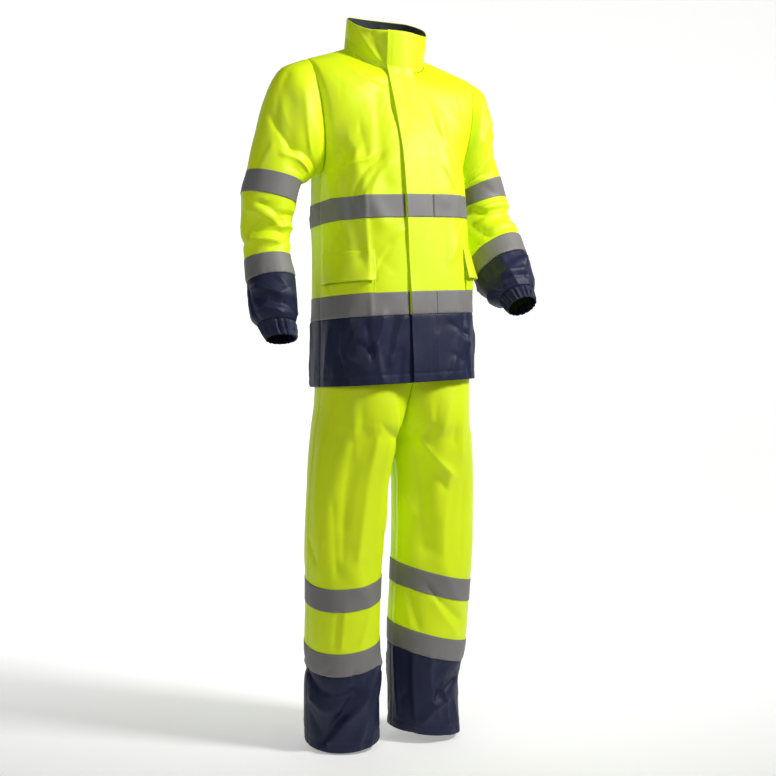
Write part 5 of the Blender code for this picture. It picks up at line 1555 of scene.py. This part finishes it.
class SUIT_OT_collar(bpy.types.Operator):
    """Stand collar with its navy lining"""
    bl_idname = "suit.collar"
    bl_label = "Collar"

    def execute(self, context):
        real = COLLAR_GIRTH / 360.0
        turns = steps(0.001, 359.999, real)
        rises = steps(0.0, 1.0, COLLAR_HEIGHT, spacing=COLLAR_STEP)

        def from_front(turn, rise):
            return collar(np.where(turn <= 180.0, turn, turn - 360.0), rise)

        grid = grid_of(from_front, turns, rises, real, COLLAR_HEIGHT)
        make("collar", [grid], YELLOW, thickness=COLLAR_CLOTH)
        covered = rises * LINING_SPAN + LINING_LOW
        points, normals, *flat = grid_of(from_front, turns, covered, real, COLLAR_HEIGHT)
        make("collar_lining", [(points - normals * LINING_IN, normals, *flat)], LINING,
             thickness=COLLAR_CLOTH)
        turn = np.linspace(2.0, 358.0, 500)
        for rise in COLLAR_STITCHES:
            thread("yellow").sew(from_front, turn, rise)
        return {"FINISHED"}


class SUIT_OT_pockets(bpy.types.Operator):
    """Patch pockets, their mouths under flaps that stand off at the lower edge"""
    bl_idname = "suit.pockets"
    bl_label = "Pockets"

    def execute(self, context):
        for word, side in SIDES:
            first, last = POCKETS[word]
            low, high = v_at(NAVY_SEAM + TAPE_WIDTH), v_at(POCKET_FLAP_LOW)
            points, normals, across, up = body_grid(side, low, high, first=first, last=last)
            share = (up - low) / (high - low)
            stand = POCKET_STAND + POCKET_RISE * share
            pocket = points + normals * stand[..., None], normals, across, up
            make(f"pocket_{word}", [pocket], YELLOW, outward=True, thickness=POCKET_CLOTH)
            low, high = high, v_at(POCKET_FLAP_TOP)
            points, normals, across, up = body_grid(side, low, high, first=first, last=last)
            share = np.clip((high - up) / (high - low), 0.0, 1.0)
            place = (np.abs(across) / BODY_QUARTER - first) / (last - first)
            lift = through(POCKET_FLAP_LIFT, share)[..., 0]
            ends = 1.0 - LIFT_LOST[0] * eased(1.0 - place, LIFT_LOST_FROM[0], 1.0)
            ends = ends - LIFT_LOST[1] * eased(place, LIFT_LOST_FROM[1], 1.0)
            lift = lift * ends + POCKET_FLAP_WAVE * share * np.sin(place * 11.0 + 1.0)
            grid = points + normals * lift[..., None], normals, across, up
            make(f"pocket_flap_{word}", [grid], YELLOW, outward=True, thickness=TWO_LAYERS)
            for row in (3, -3):
                thread("yellow").row(grid, (row, slice(2, -2)), TWO_LAYERS)
            for column in (2, -3):
                thread("yellow").row(grid, (ALL, column), TWO_LAYERS)
                thread("yellow").row(pocket, (ALL, column), POCKET_CLOTH)
        return {"FINISHED"}


class SUIT_OT_sleeves(bpy.types.Operator):
    """Sleeves with their tapes, navy ends and gathered cuffs"""
    bl_idname = "suit.sleeves"
    bl_label = "Sleeves"

    def execute(self, context):
        for word, side in SIDES:
            place = sleeve(side)
            lower = ARM_LOWER_TAPE[word]
            wrist = (RIGHT_ARM if side < 0 else LEFT_ARM)[-1][0]
            spacing = settings().spacing * SLEEVE_ROUND_SHARE
            turns = np.arange(0.0, 360.0, 360.0 * spacing / SLEEVE_ROUND)
            real = SLEEVE_ROUND / 360.0
            tube = {"round_length": SLEEVE_ROUND}
            taped = {"outward": True, "thickness": TAPE_THICKNESS, "out": TAPE_STAND, **tube}
            rows = steps(0.0, lower[1], lines=(*UPPER_TAPE, lower[0]), spacing=SLEEVE_STEP)
            whole = grid_of(place, turns, rows, real, 1.0)
            make(f"sleeve_{word}", [whole], YELLOW, **tube)
            for name, (low, high) in (("upper", UPPER_TAPE), ("lower", lower)):
                keep = within(rows, low, high)
                make(f"sleeve_{name}_tape_{word}", [tuple(values[keep] for values in whole)],
                     TAPE, **taped)
                for line in (low + STITCH_IN, high - STITCH_IN):
                    thread("grey").sew(place, np.linspace(0.0, 360.0, 300), line,
                                       TAPE_STAND + TAPE_THICKNESS)
            cuff = wrist - CUFF_LENGTH
            rows = steps(lower[1], cuff, spacing=SLEEVE_END_STEP)
            make(f"sleeve_end_{word}", [grid_of(place, turns, rows, real, 1.0)], NAVY, **tube)
            thread("navy").sew(place, np.linspace(0.0, 360.0, 300), lower[1] + SEAM_STITCH)
            self.cuff(word, place, cuff, wrist)
        return {"FINISHED"}

    def cuff(self, word, place, low, high):
        """Elastic cuff in gathers of uneven depth, with two rows of stitching that hold the elastic."""
        turns = np.arange(0.0, 360.0, CUFF_TURN)
        a, b = np.meshgrid(turns, steps(low, high, spacing=CUFF_STEP))

        def gathered(a, b):
            points, normals = place(a, b)
            rise = (b - low) / (high - low)
            angle = np.radians(a)
            wave = np.cos(angle * CUFF_GATHERS + 0.9 * np.sin(angle * 3.0) + 0.4 * rise)
            wave = wave + 0.35 * np.cos(angle * CUFF_SMALL_GATHERS + 2.0 + rise * 2.0)
            depth = CUFF_GATHER_DEPTH * (0.45 + 0.75 * np.sin(math.pi * np.clip(rise, 0.0, 1.0)))
            drawn = sum(np.exp(-((rise - row) / CUFF_ELASTIC_REACH) ** 2) for row in CUFF_ELASTIC)
            depth = depth * (1.0 - CUFF_ELASTIC_DRAW * drawn)
            moved = wave * depth * (1.0 + 0.35 * np.sin(angle * 5.0 + 1.0))
            return points + normals * (moved - CUFF_GATHER_DEPTH * 0.4)[..., None], normals

        points, normals = gathered(a, b)
        grid = points, normals, a / 360.0 * SLEEVE_ROUND, b
        make(f"cuff_{word}", [grid], NAVY, round_length=SLEEVE_ROUND, thickness=TWO_LAYERS)
        for rise in CUFF_ELASTIC:
            thread("navy").sew(gathered, np.linspace(0.0, 360.0, 400), low + (high - low) * rise)


class SUIT_OT_trousers(bpy.types.Operator):
    """Trouser legs with their tapes and navy ends, and the elastic waistband"""
    bl_idname = "suit.trousers"
    bl_label = "Trousers"

    def execute(self, context):
        tops = []
        for word, side in SIDES:
            place = leg(side)
            (low, low_top), (high, high_top) = LEG_TAPES[word]
            columns = steps(0.0, 2.0, LEG_HALF, lines=(1.0,))
            halves = (("front", columns <= 1.0), ("back", columns >= 1.0))
            rows = steps(low, WAIST - WAISTBAND, lines=(low_top, high, high_top, CROTCH))
            whole = grid_of(place, columns, rows, LEG_HALF, 1.0)
            end_rows = steps(TROUSER_HEM[word], low, spacing=LEG_END_STEP, lines=(HEM_TURN,))
            end = grid_of(place, columns, end_rows, LEG_HALF, 1.0)
            for half, keep in halves:
                make(f"trouser_{half}_{word}", [tuple(v[:, keep] for v in whole)], YELLOW)
                make(f"leg_end_{half}_{word}", [tuple(v[:, keep] for v in end)], NAVY)
            for name, (bottom, top) in (("lower", (low, low_top)), ("upper", (high, high_top))):
                keep = within(rows, bottom, top)
                make(f"leg_{name}_tape_{word}", [tuple(v[keep][:, :-1] for v in whole)], TAPE,
                     outward=True, thickness=TAPE_THICKNESS, out=TAPE_STAND,
                     round_length=2.0 * LEG_HALF)
                for line in (bottom + STITCH_IN, top - STITCH_IN):
                    thread("grey").sew(place, np.linspace(0.001, 1.999, 500), line,
                                       TAPE_STAND + TAPE_THICKNESS)
            thread("navy").sew(place, np.linspace(0.001, 1.999, 500), HEM_TURN)
            for w in (0.985, 1.015):
                thread("yellow").sew(place, w, np.linspace(high_top, WAIST - WAISTBAND, 400))
                thread("navy").sew(place, w, np.linspace(HEM_TURN, low, 100))
            band = steps(WAIST - WAISTBAND, WAIST, spacing=WAISTBAND_STEP)
            tops.append(grid_of(place, columns, band, LEG_HALF, 1.0))
        self.waistband(*tops)
        return {"FINISHED"}

    def waistband(self, right, left):
        """Waistband: one ring, back along the right leg's line and on along the left's, gathered."""
        points, normals = (np.concatenate((r[:, ::-1], l[:, 1:-1]), axis=1)
                           for r, l in zip(right[:2], left[:2]))
        across = np.concatenate((-right[2][:, ::-1], left[2][:, 1:-1]), axis=1)
        rise = (right[3][:, :1] - WAIST + WAISTBAND) / WAISTBAND
        drift, pace = WAIST_GATHER_DRIFT
        wave = np.cos(across * 2.0 * math.pi / WAIST_GATHER_PITCH + drift * np.sin(across * pace))
        moved = WAIST_GATHER * wave * np.sin(math.pi * (0.1 + 0.8 * rise))
        grid = points + normals * moved[..., None], normals, across, right[3][:, :1] + 0.0 * across
        make("waistband", [grid], YELLOW, round_length=SPACING_AT_JOIN, thickness=WAISTBAND_CLOTH)
        for row in (len(points) // 3, 2 * len(points) // 3):
            thread("yellow").along(grid[0][row], grid[1][row])


class SUIT_OT_stitching(bpy.types.Operator):
    """Topstitching of the jacket's seams and hem, and all rows of stitches as three pieces"""
    bl_idname = "suit.stitching"
    bl_label = "Stitching"

    def execute(self, context):
        for side in (-1.0, 1.0):
            for v in (HEM_TURN, v_at(NAVY_SEAM) - SEAM_STITCH):
                for line in (v, 2.0 * SHOULDER_V - v):
                    thread("navy").sew(jacket, side * np.linspace(0.001, LAST_U, 300), line)
            over = SHOULDER_V + SEAM_STITCH
            thread("yellow").sew(jacket, side * np.linspace(0.02, 0.98, 200), over)
            v = np.linspace(ARMPIT_V + 0.004, 2.0 * SHOULDER_V - ARMPIT_V - 0.004, 500)
            thread("yellow").sew(jacket, side * SIDE_STITCH_U, v)
        for colour, made in THREADS.items():
            made.finish(f"stitches_{colour}", finish(f"thread_{colour}"), THREAD_SLOTS[colour])
        return {"FINISHED"}


class SUIT_OT_stage(bpy.types.Operator):
    """Pale floor that curves up behind, soft lights and the camera"""
    bl_idname = "suit.stage"
    bl_label = "Stage"

    def execute(self, context):
        floor = CAD_BOX[0][2] - PAPER_BELOW
        turn = math.radians(CAMERA_TURN)
        ahead = np.array((-math.sin(turn), math.cos(turn), 0.0))
        right = np.array((math.cos(turn), math.sin(turn), 0.0))
        bend = [(PAPER_FRONT, 0.0)]
        bend += [(PAPER_FLAT + PAPER_CURVE * math.sin(a), PAPER_CURVE * (1.0 - math.cos(a)))
                 for a in np.linspace(0.0, math.pi / 2.0, PAPER_CURVE_STEPS + 1)]
        bend += [(PAPER_FLAT + PAPER_CURVE, PAPER_TOP)]
        points = [tuple(ahead * d + right * x + np.array((0.0, 0.0, floor + h)))
                  for d, h in bend for x in (-PAPER_HALF_WIDTH, PAPER_HALF_WIDTH)]
        quads = [(2 * k, 2 * k + 1, 2 * k + 3, 2 * k + 2) for k in range(len(bend) - 1)]
        mesh = bpy.data.meshes.new("paper_sweep")
        mesh.from_pydata(points, [], quads)
        mesh.polygons.foreach_set("use_smooth", [True] * len(quads))
        paper, tree, shader = blank("matt_paper", 0.9, Emission_Strength=PAPER_GLOW)
        for socket in ("Base Color", "Emission Color"):
            shader.inputs[socket].default_value = linear(PAPER_COLOUR)
        # The glow grows from in front of the suit to well behind it
        where = add(tree, "ShaderNodeTexCoord")
        depth = add(tree, "ShaderNodeVectorMath", links=[("Vector", where, "Object")],
                    operation="DOT_PRODUCT")
        depth.inputs[1].default_value = ahead
        glow = add(tree, "ShaderNodeMapRange", [("From Min", PAPER_DARK), ("From Max", PAPER_LIT),
                                                ("To Min", 0.0), ("To Max", PAPER_GLOW)],
                   [("Value", depth, "Value")])
        tree.links.new(glow.outputs["Result"], shader.inputs["Emission Strength"])
        mesh.materials.append(paper)
        sweep = bpy.data.objects.new("paper_sweep", mesh)
        bpy.context.scene.collection.objects.link(sweep)
        for name, side, back, up, size, power, spread in LAMPS:
            lamp = bpy.data.lights.new(name, "AREA")
            lamp.shape, lamp.size, lamp.energy = "SQUARE", size, power
            lamp.spread = math.radians(spread)
            holder = bpy.data.objects.new(name, lamp)
            place = right * side - ahead * back + np.array((0.0, 0.0, up))
            holder.location = place
            aim = Vector(np.array((0.0, 0.0, AIM_HEIGHT)) - place)
            holder.rotation_euler = aim.to_track_quat("-Z", "Y").to_euler()
            bpy.context.scene.collection.objects.link(holder)
        world = bpy.data.worlds.new("soft_room")
        world.use_nodes = True
        ground = world.node_tree.nodes["Background"]
        ground.inputs["Color"].default_value = linear(ROOM_COLOUR)
        ground.inputs["Strength"].default_value = ROOM_LIGHT
        bpy.context.scene.world = world
        lens = bpy.data.cameras.new("camera")
        lens.sensor_width, lens.lens = 36.0, CAMERA_LENS
        camera = bpy.data.objects.new("camera", lens)
        camera.location = tuple(-ahead * CAMERA_BACK + np.array((0.0, 0.0, CAMERA_HEIGHT)))
        camera.rotation_euler = (math.pi / 2.0, 0.0, turn)
        bpy.context.scene.collection.objects.link(camera)
        bpy.context.scene.camera = camera
        # The plain view keeps the fluorescent yellow as strong as it is
        bpy.context.scene.view_settings.view_transform = "Standard"
        return {"FINISHED"}


class SUIT_PT_panel(bpy.types.Panel):
    """Sizes, colours and pieces of the suit"""
    bl_label = "Work suit"
    bl_idname = "SUIT_PT_panel"
    bl_space_type = "VIEW_3D"
    bl_region_type = "UI"
    bl_category = "Work suit"

    def draw(self, context):
        for name in ("yellow", "navy", "lining", "silver", "spacing", "thickness", "crease"):
            self.layout.prop(context.scene.work_suit, name)
        for made in PIECES + (SUIT_OT_stage,):
            self.layout.operator(made.bl_idname)


PIECES = (SUIT_OT_jacket, SUIT_OT_body_tapes, SUIT_OT_storm_flap, SUIT_OT_collar, SUIT_OT_pockets,
          SUIT_OT_sleeves, SUIT_OT_trousers, SUIT_OT_stitching)
CLASSES = (SuitSettings, *PIECES, SUIT_OT_stage, SUIT_PT_panel)


def register():
    for made in CLASSES:
        bpy.utils.register_class(made)
    bpy.types.Scene.work_suit = PointerProperty(type=SuitSettings)


def unregister():
    del bpy.types.Scene.work_suit
    for made in reversed(CLASSES):
        bpy.utils.unregister_class(made)


def main():
    register()
    bpy.ops.suit.jacket()
    bpy.ops.suit.body_tapes()
    bpy.ops.suit.storm_flap()
    bpy.ops.suit.collar()
    bpy.ops.suit.pockets()
    bpy.ops.suit.sleeves()
    bpy.ops.suit.trousers()
    bpy.ops.suit.stitching()
    bpy.ops.suit.stage()


if __name__ == "__main__":
    main()
